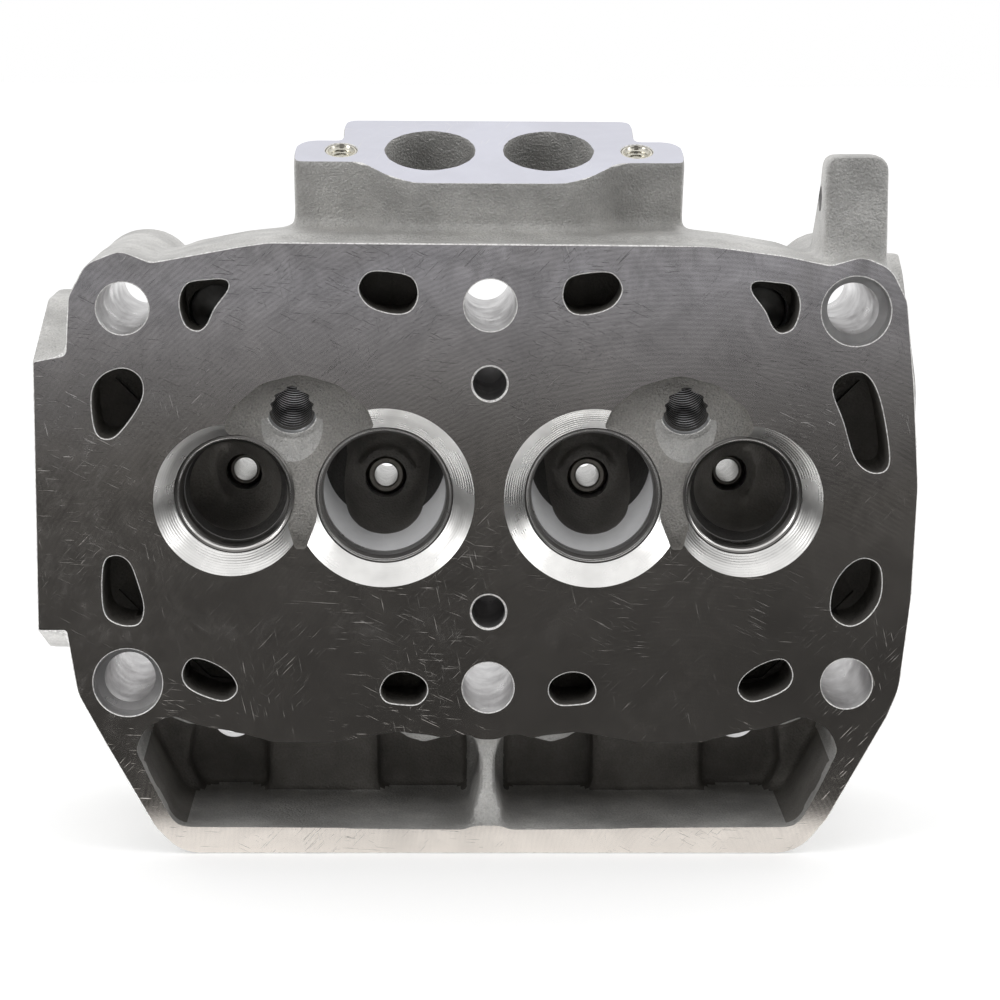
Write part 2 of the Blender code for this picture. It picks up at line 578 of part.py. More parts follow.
def machining_cuts(group):
    """The lug's sloping back and its hole, threaded holes, pushrod bores and core-plug holes."""
    low, high = LUG_OUTLINE[0][0] - OVERCUT, LUG_OUTLINE[3][0] + OVERCUT
    prism("lug_back", group, rounded(LUG_BACK), low, high, "end")
    rod("lug_hole", group, (low, LUG_HOLE_Y, LUG_HOLE_Z), (high, LUG_HOLE_Y, LUG_HOLE_Z), LUG_HOLE_R,
        facets=SMALL_ROUND)
    insert_hole_r = FLANGE_INSERT_R + GAP
    for side in SIDES.values():
        mouth = flange_point(side * FLANGE_HOLE_X, PORT_V)
        rod("flange_hole", group, mouth + FLANGE_NORMAL * OVERCUT,
            mouth - FLANGE_NORMAL * (FLANGE_INSERT_LENGTH + OVERCUT), insert_hole_r, facets=SMALL_ROUND)
        pad = pad_x(side)
        for z in (EXHAUST_HOLE_Z, -EXHAUST_HOLE_Z):
            rod("exhaust_hole", group, (pad + side * OVERCUT, EXHAUST_PORT_Y, z),
                (pad - side * EXHAUST_HOLE_DEPTH, EXHAUST_PORT_Y, z), insert_hole_r, facets=SMALL_ROUND)
        for x in PUSHROD_X:
            rod("pushrod_bore", group, (side * x, WINDOW_PANEL_Y - OVERCUT, PUSHROD_Z),
                (side * x, CHAMBER_FLOOR + OVERCUT, PUSHROD_Z), PUSHROD_R, facets=SMALL_ROUND)
        for x in ROCKER_STUD_X:
            rod("rocker_stud_hole", group, (side * x, ROCKER_STUD_START, ROCKER_STUD_Z),
                (side * x, ROCKER_BOSS_END + OVERCUT, ROCKER_STUD_Z), ROCKER_STUD_R + GAP,
                facets=SMALL_ROUND)
        rod("core_plug_hole", group, (side * CORE_PLUG_X, GALLERY_END - 2, CORE_PLUG_Z),
            (side * CORE_PLUG_X, DECK_DEPTH + OVERCUT, CORE_PLUG_Z), CORE_PLUG_R + GAP, facets=SMALL_ROUND)


def make_casting(parts):
    heart = ((-20, -100, 4), (-20, 20, 4), (20, 20, 4), (20, -100, 4))
    body = prism("head_casting", parts, rounded(heart), DECK_DEPTH + 0.5, CHAMBER_FLOOR - 1)
    for name, fill, operation in (
        ("casting_shell", shell_solids, "UNION"),
        ("casting_shell_cuts", shell_cuts, "DIFFERENCE"),
        ("casting_bosses", boss_solids, "UNION"),
    ):
        group = make_collection(name)
        fill(group)
        boolean(body, operation, group)
    cuts = make_collection("machining_cuts")
    for fill in (slot_and_gallery_cuts, stud_cuts, valve_cuts, chamber_cuts, machining_cuts):
        fill(cuts)
    boolean(body, "DIFFERENCE", cuts)
    body.data.materials.append(make_material("head_casting", CAST_ALUMINIUM))
    return body


# ---- the pieces fitted into the casting ----------------------------------------------------------
def make_valve_seat(parts, kind, side_name):
    x, _relief, seat_r, throat_r, _guide = VALVES[kind]
    side = SIDES[side_name]
    top = RELIEF_DEPTH + SEAT_HEIGHT + GAP
    bottom = RELIEF_DEPTH + GAP
    profile = ((seat_r, top), (seat_r, bottom), (throat_r + SEAT_CHAMFER, bottom),
               (throat_r, bottom + SEAT_CHAMFER), (throat_r, top))
    turned(f"{kind}_valve_seat_{side_name}", parts, profile, SINTERED_STEEL, (side * x, 0, 0),
           valve_axis(kind, side), VALVE_ROUND)


def make_valve_guide(parts, kind, side_name):
    x, *_sizes, guide_r = VALVES[kind]
    side = SIDES[side_name]
    end_r = guide_r - GUIDE_LEAD
    profile = ((end_r, GUIDE_END), (guide_r, GUIDE_END - GUIDE_LEAD), (guide_r, GUIDE_START + GUIDE_LEAD),
               (end_r, GUIDE_START), (GUIDE_BORE_R, GUIDE_START), (GUIDE_BORE_R, GUIDE_END))
    turned(f"{kind}_valve_guide_{side_name}", parts, profile, GUIDE_BRONZE, (side * x, 0, 0),
           valve_axis(kind, side))


def make_thread_insert(parts, name, mouth, inward):
    """A threaded bush, just below the face it is screwed into."""
    profile = ((FLANGE_INSERT_R, FLANGE_INSERT_LENGTH), (FLANGE_INSERT_R, INSERT_SINK),
               (INSERT_BORE_R + INSERT_LEAD, INSERT_SINK), (INSERT_BORE_R, INSERT_SINK + INSERT_LEAD),
               (INSERT_BORE_R, FLANGE_INSERT_LENGTH))
    turned(name, parts, profile, STAINLESS, mouth, inward)


def make_rocker_stud(parts, name, x):
    start = ROCKER_STUD_START + GAP
    length = ROCKER_STUD_END - start
    tip_r = ROCKER_STUD_R - ROCKER_STUD_LEAD
    profile = ((0, length), (tip_r, length), (ROCKER_STUD_R, length - ROCKER_STUD_LEAD),
               (ROCKER_STUD_R, ROCKER_STUD_LEAD), (tip_r, 0), (0, 0))
    turned(name, parts, profile, ZINC_STEEL, (x, start, ROCKER_STUD_Z), (0, 1, 0), ring=False)


def make_core_plug(parts, name, x):
    """A pressed steel cup, open towards the outside."""
    depth = DECK_DEPTH - 1 - CORE_PLUG_START
    inner_r = CORE_PLUG_R - CORE_PLUG_WALL
    corner = 0.6
    profile = ((0, CORE_PLUG_WALL), (inner_r, CORE_PLUG_WALL), (inner_r, depth), (CORE_PLUG_R, depth),
               (CORE_PLUG_R, corner), (CORE_PLUG_R - corner, 0), (0, 0))
    turned(name, parts, profile, PLUG_STEEL, (x, CORE_PLUG_START, CORE_PLUG_Z), (0, 1, 0), ring=False)


def make_fitted_pieces(parts):
    for side_name, side in SIDES.items():
        for kind in VALVES:
            make_valve_seat(parts, kind, side_name)
            make_valve_guide(parts, kind, side_name)
        make_thread_insert(parts, f"intake_flange_thread_insert_{side_name}",
                           flange_point(side * FLANGE_HOLE_X, PORT_V), -FLANGE_NORMAL)
        for height, z in (("upper", EXHAUST_HOLE_Z), ("lower", -EXHAUST_HOLE_Z)):
            make_thread_insert(parts, f"exhaust_flange_thread_insert_{side_name}_{height}",
                               (pad_x(side), EXHAUST_PORT_Y, z), (-side, 0, 0))
        for place, x in zip(("inner", "outer"), ROCKER_STUD_X):
            make_rocker_stud(parts, f"rocker_shaft_stud_{side_name}_{place}", side * x)
        make_core_plug(parts, f"core_plug_{side_name}", side * CORE_PLUG_X)


def main():
    for old in list(bpy.data.objects):
        bpy.data.objects.remove(old)
    parts = make_collection("cylinder_head")
    make_casting(parts)
    make_fitted_pieces(parts)


main()
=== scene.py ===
"""Looks of a bare two-cylinder cylinder head.

A sand-cast aluminium body with milled, bored and threaded surfaces, valve seats, guides, thread inserts,
rocker-shaft studs and core plugs.

Sizes are in millimetres (+X right, +Y into the head, +Z up, sealing face at Y = 0, valves at Z = 0)
and are turned into metres by MM.  The casting is joined from simple solids, remeshed and smoothed so
that its corners get cast fillets, and then cut by the machining: every cutter leaves its own finish.
"""
from math import atan2, cos, pi, radians, sin, tan

import bmesh
import bpy
from mathutils import Matrix, Vector


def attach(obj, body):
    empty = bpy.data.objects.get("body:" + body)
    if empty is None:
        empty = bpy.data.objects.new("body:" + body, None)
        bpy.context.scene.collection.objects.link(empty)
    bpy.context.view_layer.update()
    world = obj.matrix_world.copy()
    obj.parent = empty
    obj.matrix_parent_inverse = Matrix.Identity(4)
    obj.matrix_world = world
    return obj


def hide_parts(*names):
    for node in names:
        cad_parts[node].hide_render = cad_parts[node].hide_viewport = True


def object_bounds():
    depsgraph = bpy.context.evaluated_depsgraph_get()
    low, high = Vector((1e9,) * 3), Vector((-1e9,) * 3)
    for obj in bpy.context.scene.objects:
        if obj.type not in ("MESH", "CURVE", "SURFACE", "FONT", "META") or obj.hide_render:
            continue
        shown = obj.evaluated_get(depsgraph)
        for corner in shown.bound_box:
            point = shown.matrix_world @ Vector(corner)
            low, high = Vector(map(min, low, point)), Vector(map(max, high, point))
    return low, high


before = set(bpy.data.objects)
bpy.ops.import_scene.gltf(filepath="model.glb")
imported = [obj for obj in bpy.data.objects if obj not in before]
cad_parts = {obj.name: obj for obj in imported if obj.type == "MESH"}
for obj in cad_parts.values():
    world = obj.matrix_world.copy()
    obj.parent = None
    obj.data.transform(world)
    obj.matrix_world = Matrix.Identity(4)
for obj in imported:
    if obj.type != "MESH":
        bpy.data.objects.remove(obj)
CAD_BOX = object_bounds()
MM = 0.001
BODY = "root"

# ---- driving dimensions (mm); the box of the head comes from the CAD -----------------------------
BASE_Z = CAD_BOX[0][2] / MM
LEFT_PAD_X = CAD_BOX[0][0] / MM
RIGHT_PAD_X = CAD_BOX[1][0] / MM
DECK_DEPTH = 46.0
HEAD_DEPTH = 96.0
STUD_BOSS_DEPTH = 89.0
CHAMBER_FLOOR = 58.0
STUD_X, STUD_Z, STUD_MID_Z = 112.0, 58.4, 59.8
STUD_BORE_R, DOWEL_R, DOWEL_DEPTH = 8.0, 10.7, 8.0
CENTRE_HOLE_Z, CENTRE_HOLE_R, CENTRE_HOLE_DEPTH = 35.7, 5.2, 40.0
RELIEF_DEPTH = 5.3
SEAT_HEIGHT = 7.5
SPRING_SEAT = 70.0
GUIDE_START, GUIDE_END, GUIDE_BORE_R = 44.0, 84.0, 3.7
PLUG_X, PLUG_Z, PLUG_TILT = 60.8, 23.4, radians(27)
PLUG_MOUTH, PLUG_MOUTH_R, PLUG_SCOOP_R, PLUG_SCOOP_SLOPE = 5.0, 7.6, 9.6, tan(radians(36))
PLUG_REACH, PLUG_BOSS_END = 29.0, 72.0
FLANGE_TILT = radians(22)
FLANGE_FRONT = Vector((0, 12.0, 95.9))
PORT_X, PORT_UP, PORT_R = 18.5, 23.4, 14.0
FLANGE_HOLE_X, INSERT_R, INSERT_LENGTH = 46.3, 5.0, 16.0
EXHAUST_PORT_Y, EXHAUST_PORT_R, EXHAUST_HOLE_Z = 40.0, 14.0, 34.0
WINDOW_PANEL_Y, WINDOW_FLOOR_Z = 44.0, -105.3
PUSHROD_X, PUSHROD_Z, PUSHROD_R = (19.5, 82.5), -82.0, 7.0
ROCKER_STUD_X, ROCKER_STUD_Z, ROCKER_STUD_R, ROCKER_STUD_END = (35.0, 77.0), -34.0, 4.0, 104.0
CORE_PLUG_X, CORE_PLUG_Z, CORE_PLUG_R = 86.0, 55.0, 8.0

SIDES = {"left": -1, "right": 1}
# distance from the centre, relief radius, seat radius, throat radius, guide radius
VALVES = {"intake": (32.4, 27.9, 21.3, 19.3, 6.6), "exhaust": (79.0, 23.6, 18.6, 16.2, 5.8)}

# towers, bosses and pads of the casting
TOWER_START, TOWER_R_UPPER, TOWER_R_LOWER, TOWER_R_MIDDLE = 30, 16.8, 15, 14
LOWER_MIDDLE_BOSS_R, LOWER_MIDDLE_BOSS_END = 13, 72
SPRING_PAD_R, GUIDE_BOSS_R, GUIDE_FOOT_R = 18, 10.5, 9.5
ROCKER_BOSS_R, ROCKER_BOSS_END, PLUG_BOSS_R = 9, 78, 15
NUT_SEAT_R, NUT_SEAT_R_MIDDLE = 19, 18
CHAMBER_DEPTH, CHAMBER_FILLET = 5.4, 1.2
PLUG_WELL_R = 11.5
LUG_HOLE_SPAN, LUG_HOLE_Y, LUG_HOLE_Z, LUG_HOLE_R = (98, 126), 21, 91.5, 4.3
EXHAUST_LEAN_OUT, EXHAUST_LEAN_UP = radians(1.8), radians(2.2)
THREAD_PITCH = 1.25

OVERCUT = 4                     # how far a cutter reaches past the surface that it opens
FIT = 0.05                      # clearance round a pressed-in piece
LIP_REACH = 1.5                 # how far the cone that deburrs a hole stands out of its mouth
STOCK = 1.6                     # extra metal on every face that is machined afterwards
VOXEL = 1.4                     # grid of the remeshed casting
SMOOTHING = 10                  # passes that round the cast corners
CHAMFER = 0.3                   # deburred edge round the sealing face, holes and slots
FINE = 64                       # facets round a machined bore

# ---- outlines (x, z, corner radius) on the sealing face ------------------------------------------
FACE_OUTLINE = (
    (LEFT_PAD_X, -42, 1), (LEFT_PAD_X, 42, 1), (-129.5, 44, 2), (-128.4, 62, 6), (-123, 72, 8),
    (-112.5, 76.2, 7), (-103.2, 72.4, 5), (-76.4, 77.4, 60), (-67.6, 78.7, 20), (66.9, 78.2, 60),
    (90.3, 75.2, 40), (103.9, 72.4, 6), (113.5, 75.3, 8), (122.5, 71.5, 9), (127.6, 61.5, 8),
    (130.4, 35.5, 60), (132.6, 4, 60), (131.5, -31.4, 60), (128.5, -60, 20), (125, -69, 12),
    (107, -102, 16), (98, BASE_Z, 18), (-96, BASE_Z, 18), (-104, -105, 14), (-119.3, -77.6, 12),
    (-127.6, -62, 16), (-130.8, -42, 1),
)
TOP_SWELL = ((-98, 60, 4), (-96, 74.6, 6), (-76, 78.6, 40), (-60, 80.4, 20), (60, 80.2, 20), (76, 78.4, 40),
             (96, 75, 6), (98, 60, 4))
WINDOW_RIGHT = (
    (4.9, -74.9, 1), (11.5, -75.2, 1.5), (12.8, -76.1, 1), (27.7, -74.0, 8), (48, -77.6, 20),
    (66.5, -77.6, 10), (76, -74.9, 8), (91, -72.0, 8), (98.5, -68.6, 5), (106.5, -73.0, 4),
    (109.8, -79.5, 3.5), (104.7, -90.7, 10), (97.5, -104.6, 6), (4.9, WINDOW_FLOOR_Z, 1.5), (4.9, -101, 2),
    (2.4, -93, 6), (2.4, -83, 6),
)
ROCKER_BOX = ((-90, BASE_Z, 6), (-106, -84, 18), (-106, 38, 16), (106, 38, 16), (106, -84, 18),
              (90, BASE_Z, 6))
ROCKER_CHAMBER = ((-84, -104, 8), (-98, -80, 14), (-98, 29, 10), (98, 29, 10), (98, -80, 14), (84, -104, 8))
EXHAUST_NECK = ((30, -38, 8), (30, 38, 8), (82, 38, 10), (82, -38, 10))
LUG_OUTLINE = ((102.6, 60, 1), (102.6, 105.2, 3.5), (121.9, 105.2, 3.5), (122.6, 60, 1))
LUG_BACK = ((22, 112, 0.5), (22, 99, 6), (41, 80.5, 2), (60, 80.5, 0.5), (60, 112, 0.5))
INTAKE_FLANGE = (
    (-24, 0, 12), (24, 0, 12), (33, 6.5, 12), (40, 14.7, 5), (61, 14.7, 1), (61, 30.6, 7), (46, 30.6, 2),
    (46, 45.5, 4), (-46, 45.5, 4), (-46, 30.6, 2), (-61, 30.6, 7), (-61, 14.7, 1), (-40, 14.7, 5),
    (-33, 6.5, 12),
)
LEFT_PAD = ((0, -42, 1), (0, 42, 1), (42, 57, 10), (72, 57, 10), (90, 46, 12), (90, -46, 12), (72, -57, 10),
            (30, -54, 10))
RIGHT_PAD = ((12, -34, 8), (12, 34, 8), (46, 66, 8), (58, 72, 4), (66, 66, 8), (90, 34, 12), (90, -34, 12),
             (66, -54, 10), (30, -54, 10))
CHAMBER = ((-82, 21, 4), (-79, 28, 6), (-70, 35.5, 9), (-58, 38.6, 12), (-46, 35, 9), (-37.5, 28, 6),
           (-35, 20, 4), (-48, 6, 6), (-56.6, -15.9, 1), (-59.8, -15.9, 1), (-68, 6, 6))

# points of smooth closed loops (x, z); the twins have a mirrored copy on the other cylinder
TWIN_SLOTS = (
    ((94.6, 60.3), (92.4, 65.8), (86.7, 67.1), (80.7, 67.2), (79.9, 64.3), (84.1, 58.5), (86.6, 53.4),
     (89.4, 51.7), (93, 53.7)),
    ((40.1, 64.7), (37.2, 69.5), (30.8, 69.8), (24, 68), (22.2, 62.6), (24.6, 58), (29.8, 57.2),
     (36.9, 59.5)),
    ((94.9, -55.1), (92, -50.8), (85.6, -52.2), (79.7, -56.4), (78.3, -61), (82, -64), (88, -62.6),
     (93.5, -59.5)),
    ((33.5, -60.5), (30.7, -56), (25.2, -55), (20.1, -57.5), (19, -61.5), (21.8, -65), (27, -65.2),
     (31.8, -64.2)),
)
SINGLE_SLOTS = (
    ((-121.7, 31.8), (-118.4, 37.7), (-112, 40), (-106.9, 37.1), (-106.4, 31), (-111, 23.2), (-116, 18.4),
     (-120.6, 20.4)),
    ((-118.9, -21.4), (-115.3, -18.3), (-111.1, -20.4), (-108.4, -27.4), (-106.8, -34.6), (-108.6, -39.7),
     (-114.7, -39.7), (-119, -35.3)),
    ((105.4, 34.2), (108.9, 38.9), (115.4, 38.9), (119.9, 31.2), (123.1, 15.6), (122.4, 9.4), (117.5, 8.7),
     (112.7, 13.1), (109, 24.3)),
    ((110.8, -21.8), (116.3, -18.6), (121.4, -21.5), (121.7, -30.7), (117.8, -37.3), (112.2, -39.9),
     (106.9, -36.4), (107, -28.5)),
)
SLOT_DEPTH = 24.0
GALLERIES = (
    ((30, 63), (60, 62), (85, 58), (99, 44), (113, 30)),
    ((27, -60), (60, -60), (86, -57), (99, -44), (113, -30)),
)


# ---- node materials ------------------------------------------------------------------------------
class Nodes:
    """Short-hand for building one node material."""

    def __init__(self, name, colour, roughness, metallic):
        self.material = bpy.data.materials.new(name)
        self.material.use_nodes = True
        self.tree = self.material.node_tree
        self.shader = self.tree.nodes["Principled BSDF"]
        self.shader.inputs["Base Color"].default_value = (*colour, 1)
        self.shader.inputs["Roughness"].default_value = roughness
        self.shader.inputs["Metallic"].default_value = metallic
        self.place = self.tree.nodes.new("ShaderNodeTexCoord").outputs["Object"]

    def node(self, kind, links=None, **settings):
        made = self.tree.nodes.new("ShaderNode" + kind)
        for key, value in settings.items():
            setattr(made, key, value)
        for key, value in (links or {}).items():
            socket = made.inputs[key]
            if isinstance(value, bpy.types.NodeSocket):
                self.tree.links.new(value, socket)
            else:
                socket.default_value = value
        return made

    def math(self, operation, a, b=0.0):
        return self.node("Math", {0: a, 1: b}, operation=operation).outputs[0]

    def noise(self, scale, detail=2.0, roughness=0.5, distortion=0.0, vector=None):
        return self.node("TexNoise", {"Vector": vector or self.place, "Scale": scale, "Detail": detail,
                                      "Roughness": roughness, "Distortion": distortion}).outputs["Fac"]

    def remap(self, value, low, high, to_low=0.0, to_high=1.0):
        return self.node("MapRange", {"Value": value, "From Min": low, "From Max": high, "To Min": to_low,
                                      "To Max": to_high}).outputs["Result"]

    def blend(self, amount, first, second):
        mix = self.node("Mix", data_type="RGBA")
        for socket, value in ((mix.inputs[0], amount), (mix.inputs[6], first), (mix.inputs[7], second)):
            if isinstance(value, bpy.types.NodeSocket):
                self.tree.links.new(value, socket)
            elif isinstance(value, tuple):
                socket.default_value = (*value, 1)
            else:
                socket.default_value = value
        return mix.outputs[2]

    def bump(self, height, strength, distance, under=None):
        links = {"Height": height, "Strength": strength, "Distance": distance}
        if under:
            links["Normal"] = under
        return self.node("Bump", links).outputs["Normal"]

    def set(self, socket, value):
        self.tree.links.new(value, self.shader.inputs[socket])


def cast_material(name, colour, roughness, grain):
    """Blasted sand-cast skin: fine grain, soft mottling and a few darker pits."""
    m = Nodes(name, colour, roughness, 0.75)
    mottle = m.noise(45, 4, 0.6)
    fine = m.noise(1500, 3, 0.7)
    light = tuple(min(1.0, c * 1.12) for c in colour)
    dark = tuple(c * 0.72 for c in colour)
    tone = m.blend(m.remap(mottle, 0.35, 0.65), dark, light)
    tone = m.blend(m.remap(fine, 0.35, 0.7, 0.0, min(0.8, 0.22 * grain)), tone,
                   tuple(c * 0.5 for c in colour))
    m.set("Base Color", tone)
    m.set("Roughness", m.remap(fine, 0.3, 0.7, roughness - 0.08, roughness + 0.1))
    rough_grain = m.node("TexVoronoi", {"Vector": m.place, "Scale": 1100.0}).outputs["Distance"]
    normal = m.bump(rough_grain, min(1.0, 0.3 * grain), 0.0004)
    normal = m.bump(fine, min(1.0, 0.4 * grain), 0.0004 * grain, normal)
    normal = m.bump(m.noise(220, 3), 0.25, 0.0012, normal)
    m.set("Normal", normal)
    return m.material


def milled_material(name, colour, roughness, staining):
    """Fly-cut face: faint tool arcs, fine scratches, brown stains, a little white oxide, and painted light
    by height: lighter and bluer at the top (painted reflection), darker and browner below (brown stain with
    painted shade).
    """
    m = Nodes(name, colour, roughness, 1.0)
    centre = m.node("Mapping", {"Vector": m.place, "Location": (-0.06, 0.0, 0.12)}).outputs[0]
    arcs = m.node("TexWave", {"Vector": centre, "Scale": 210.0, "Distortion": 2.0, "Detail": 2.0,
                              "Detail Scale": 1.5}, wave_type="RINGS", rings_direction="Y").outputs["Fac"]
    stain = m.noise(16, 5, 0.62, 0.6)
    smear = m.noise(60, 5, 0.7, 1.6)
    fine = m.noise(900, 2, 0.6)
    split = m.node("SeparateXYZ", {0: m.place}).outputs
    low_brown_and_shade_tone = (colour[0] * 0.92, colour[1] * 0.88, colour[2] * 0.83)
    cool = (colour[0], colour[1], colour[2] * 1.07)
    # Painted light by height: the top of the face is lighter and bluer as a painted reflection, the rest
    # darker and browner as brown stain with painted shade.
    upper = m.remap(m.math("ADD", split["Z"], m.math("MULTIPLY", stain, 0.05)), 0.03, 0.09)
    tone = m.blend(upper, low_brown_and_shade_tone, cool)
    tone = m.blend(m.remap(stain, 0.38, 0.68, 0.0, 0.4 * staining), tone, tuple(c * 0.5 for c in low_brown_and_shade_tone))
    scratch = None
    for turn, patch_scale in ((0.45, 22), (-0.8, 31), (1.35, 27), (0.05, 19)):
        lines = m.node("Mapping", {"Vector": m.place, "Rotation": (0, turn, 0),
                                   "Scale": (0.011, 0.011, 0.0004)},
                       vector_type="TEXTURE").outputs[0]
        layer = m.remap(m.noise(1.0, 2, 0.6, 0.25, lines), 0.655, 0.72)
        layer = m.math("MULTIPLY", layer, m.remap(m.noise(patch_scale, 2), 0.5, 0.62))
        scratch = layer if scratch is None else m.math("MAXIMUM", scratch, layer)
    far_left = m.math("MULTIPLY", m.remap(split["X"], -0.08, -0.13),
                      m.remap(m.noise(110, 8, 0.8, 0.4), 0.5, 0.7))
    band = m.math("MULTIPLY", m.remap(m.math("ABSOLUTE", m.math("ADD", split["Z"], 0.042)), 0.009, 0.001),
                  m.remap(m.noise(90, 8, 0.8, 0.6), 0.5, 0.72))
    band = m.math("MULTIPLY", band, m.remap(split["X"], 0.05, -0.01))
    oxide = m.math("MULTIPLY", m.math("MAXIMUM", far_left, band), 0.2 * staining)
    tone = m.blend(m.math("MULTIPLY", scratch, 0.4), tone, (0.95, 0.94, 0.92))
    m.set("Base Color", m.blend(oxide, tone, (0.75, 0.75, 0.78)))
    rough = m.remap(smear, 0.3, 0.75, roughness - 0.05, roughness + 0.07)
    rough = m.math("ADD", rough, m.math("MULTIPLY", arcs, 0.03))
    m.set("Roughness", m.math("ADD", rough, m.math("MULTIPLY", oxide, 0.4)))
    m.set("Metallic", m.math("SUBTRACT", 1.0, m.math("MULTIPLY", m.math("MAXIMUM", oxide, scratch), 0.4)))
    normal = m.bump(arcs, 0.02, 0.0001)
    normal = m.bump(smear, 0.04, 0.0005, normal)
    normal = m.bump(fine, 0.06, 0.0001, normal)
    normal = m.bump(scratch, 0.3, 0.0002, normal)
    m.set("Normal", normal)
    return m.material


def turned_material(name, colour, roughness, ring_scale, metallic=1.0):
    """Lathe or boring marks as rings round the nearest valve axis."""
    m = Nodes(name, colour, roughness, metallic)
    parts = m.node("SeparateXYZ", {0: m.place})
    across = m.math("ABSOLUTE", parts.outputs["X"])
    distances = []
    for x, *_rest in VALVES.values():
        offset = m.math("SUBTRACT", across, x * MM)
        distances.append(m.math("SQRT", m.math("ADD", m.math("POWER", offset, 2.0),
                                               m.math("POWER", parts.outputs["Z"], 2.0))))
    radius = m.math("MINIMUM", *distances)
    wobble = m.noise(120, 2)
    rings = m.math("SINE", m.math("MULTIPLY", m.math("ADD", radius, m.math("MULTIPLY", wobble, 0.0008)),
                                  ring_scale))
    broad = m.math("SINE", m.math("MULTIPLY", radius, ring_scale * 0.17))
    haze = m.noise(60, 3, 0.6)
    tone = m.blend(m.remap(haze, 0.35, 0.7, 0.0, 0.5), tuple(colour), tuple(c * 0.7 for c in colour))
    m.set("Base Color", tone)
    m.set("Roughness", m.remap(haze, 0.3, 0.7, roughness - 0.05, roughness + 0.12))
    normal = m.bump(rings, 0.10, 0.0001)
    normal = m.bump(broad, 0.08, 0.0002, normal)
    m.set("Normal", normal)
    return m.material


def bored_material(name, colour, roughness, pitch_mm):
    """Drilled or reamed wall: faint feed rings along the hole and streaks."""
    m = Nodes(name, colour, roughness, 0.9)
    depth = m.node("SeparateXYZ", {0: m.place}).outputs["Y"]
    rings = m.math("SINE", m.math("MULTIPLY", depth, 2 * pi / (pitch_mm * MM)))
    haze = m.noise(140, 3, 0.6)
    tone = m.blend(m.remap(haze, 0.35, 0.7, 0.0, 0.6), tuple(colour), tuple(c * 0.68 for c in colour))
    m.set("Base Color", tone)
    m.set("Roughness", m.remap(haze, 0.3, 0.7, roughness - 0.06, roughness + 0.12))
    m.set("Normal", m.bump(rings, 0.2, 0.0002))
    return m.material


def edge_material():
    """Bright deburred edge with small nicks."""
    m = Nodes("deburred_edge", (0.93, 0.92, 0.9), 0.42, 0.35)
    nicks = m.noise(1400, 2, 0.7)
    m.set("Base Color", m.blend(m.remap(nicks, 0.45, 0.62, 0.0, 0.7), (0.98, 0.97, 0.95),
                                (0.42, 0.41, 0.4)))
    m.set("Normal", m.bump(nicks, 0.5, 0.0003))
    return m.material


FINISHES = {
    "cast": cast_material("cast_skin", (0.77, 0.76, 0.74), 0.46, 2.2),
    "cast_coarse": cast_material("cast_chamber", (0.62, 0.60, 0.57), 0.42, 3.2),
    # Painted shade: cast skin darkened for slots, galleries, windows, pockets and ports.
    "cast_dark": cast_material("cast_skin_painted_shade", (0.30, 0.285, 0.265), 0.6, 1.1),
    # Painted shade: the darkest cast skin, for throats, deep ports and thread grooves.
    "deep_painted_shade": cast_material("cast_deep_painted_shade", (0.13, 0.125, 0.12), 0.65, 1.0),
    "milled": milled_material("milled_face", (0.74, 0.72, 0.705), 0.18, 1.0),
    "flange": milled_material("milled_flange", (0.72, 0.725, 0.75), 0.34, 0.45),
    "relief": turned_material("turned_relief", (0.93, 0.92, 0.90), 0.25, 9000.0),
    "bowl": turned_material("bored_throat", (0.95, 0.95, 0.96), 0.4, 7000.0, 0.2),
    "bored": bored_material("bored_wall", (0.76, 0.75, 0.75), 0.32, 1.6),
    # Painted shade: a bored wall darkened for the spark-plug threads.
    "thread": bored_material("thread_wall_painted_shade", (0.56, 0.56, 0.57), 0.32, 1.25),
    "edge": edge_material(),
}


# ---- solids --------------------------------------------------------------------------------------
def rounded(corners, facets=6):
    """Points of a closed outline whose corners are replaced by arcs of their own radius."""
    points = []
    for i, (bx, bz, radius) in enumerate(corners):
        ax, az, _ = corners[i - 1]
        cx, cz, _ = corners[(i + 1) % len(corners)]
        to_last, to_next = Vector((ax - bx, az - bz)), Vector((cx - bx, cz - bz))
        angle = to_last.angle(to_next)
        tangent = min(radius / tan(angle / 2), 0.49 * to_last.length, 0.49 * to_next.length)
        arc = tangent * tan(angle / 2)
        to_last.normalize()
        to_next.normalize()
        corner = Vector((bx, bz))
        centre = corner + (to_last + to_next).normalized() * arc / sin(angle / 2)
        start = corner + to_last * tangent - centre
        turn = start.angle_signed(corner + to_next * tangent - centre)
        first = atan2(start.y, start.x)
        for k in range(facets + 1):
            a = first - turn * k / facets
            points.append(centre + arc * Vector((cos(a), sin(a))))
    return points


def curve_point(a, b, c, d, t):
    """Catmull-Rom curve between b and c."""
    return 0.5 * (2 * b + (c - a) * t + (2 * a - 5 * b + 4 * c - d) * t ** 2
                  + (3 * b - a - 3 * c + d) * t ** 3)


def smooth_loop(points, steps=5):
    """Closed smooth curve through the points."""
    p = [Vector(point) for point in points]
    n = len(p)
    loop = []
    for i in range(n):
        a, b, c, d = p[i - 1], p[i], p[(i + 1) % n], p[(i + 2) % n]
        loop += [curve_point(a, b, c, d, k / steps) for k in range(steps)]
    return loop


def mirrored(corners):
    return tuple((-corner[0], *corner[1:]) for corner in reversed(corners))


def grown(points, distance):
    """The outline moved outwards by a distance."""
    n = len(points)
    area = sum(points[i].x * points[(i + 1) % n].y - points[(i + 1) % n].x * points[i].y for i in range(n))
    sign = 1 if area > 0 else -1
    moved = []
    for i, point in enumerate(points):
        ahead = points[(i + 1) % n] - points[i - 1]
        if ahead.length < 1e-6:
            moved.append(point.copy())
            continue
        moved.append(point + Vector((ahead.y, -ahead.x)).normalized() * distance * sign)
    return moved


def circle(radius, facets):
    angles = [2 * pi * k / facets for k in range(facets)]
    return [Vector((radius * cos(a), radius * sin(a))) for a in angles]


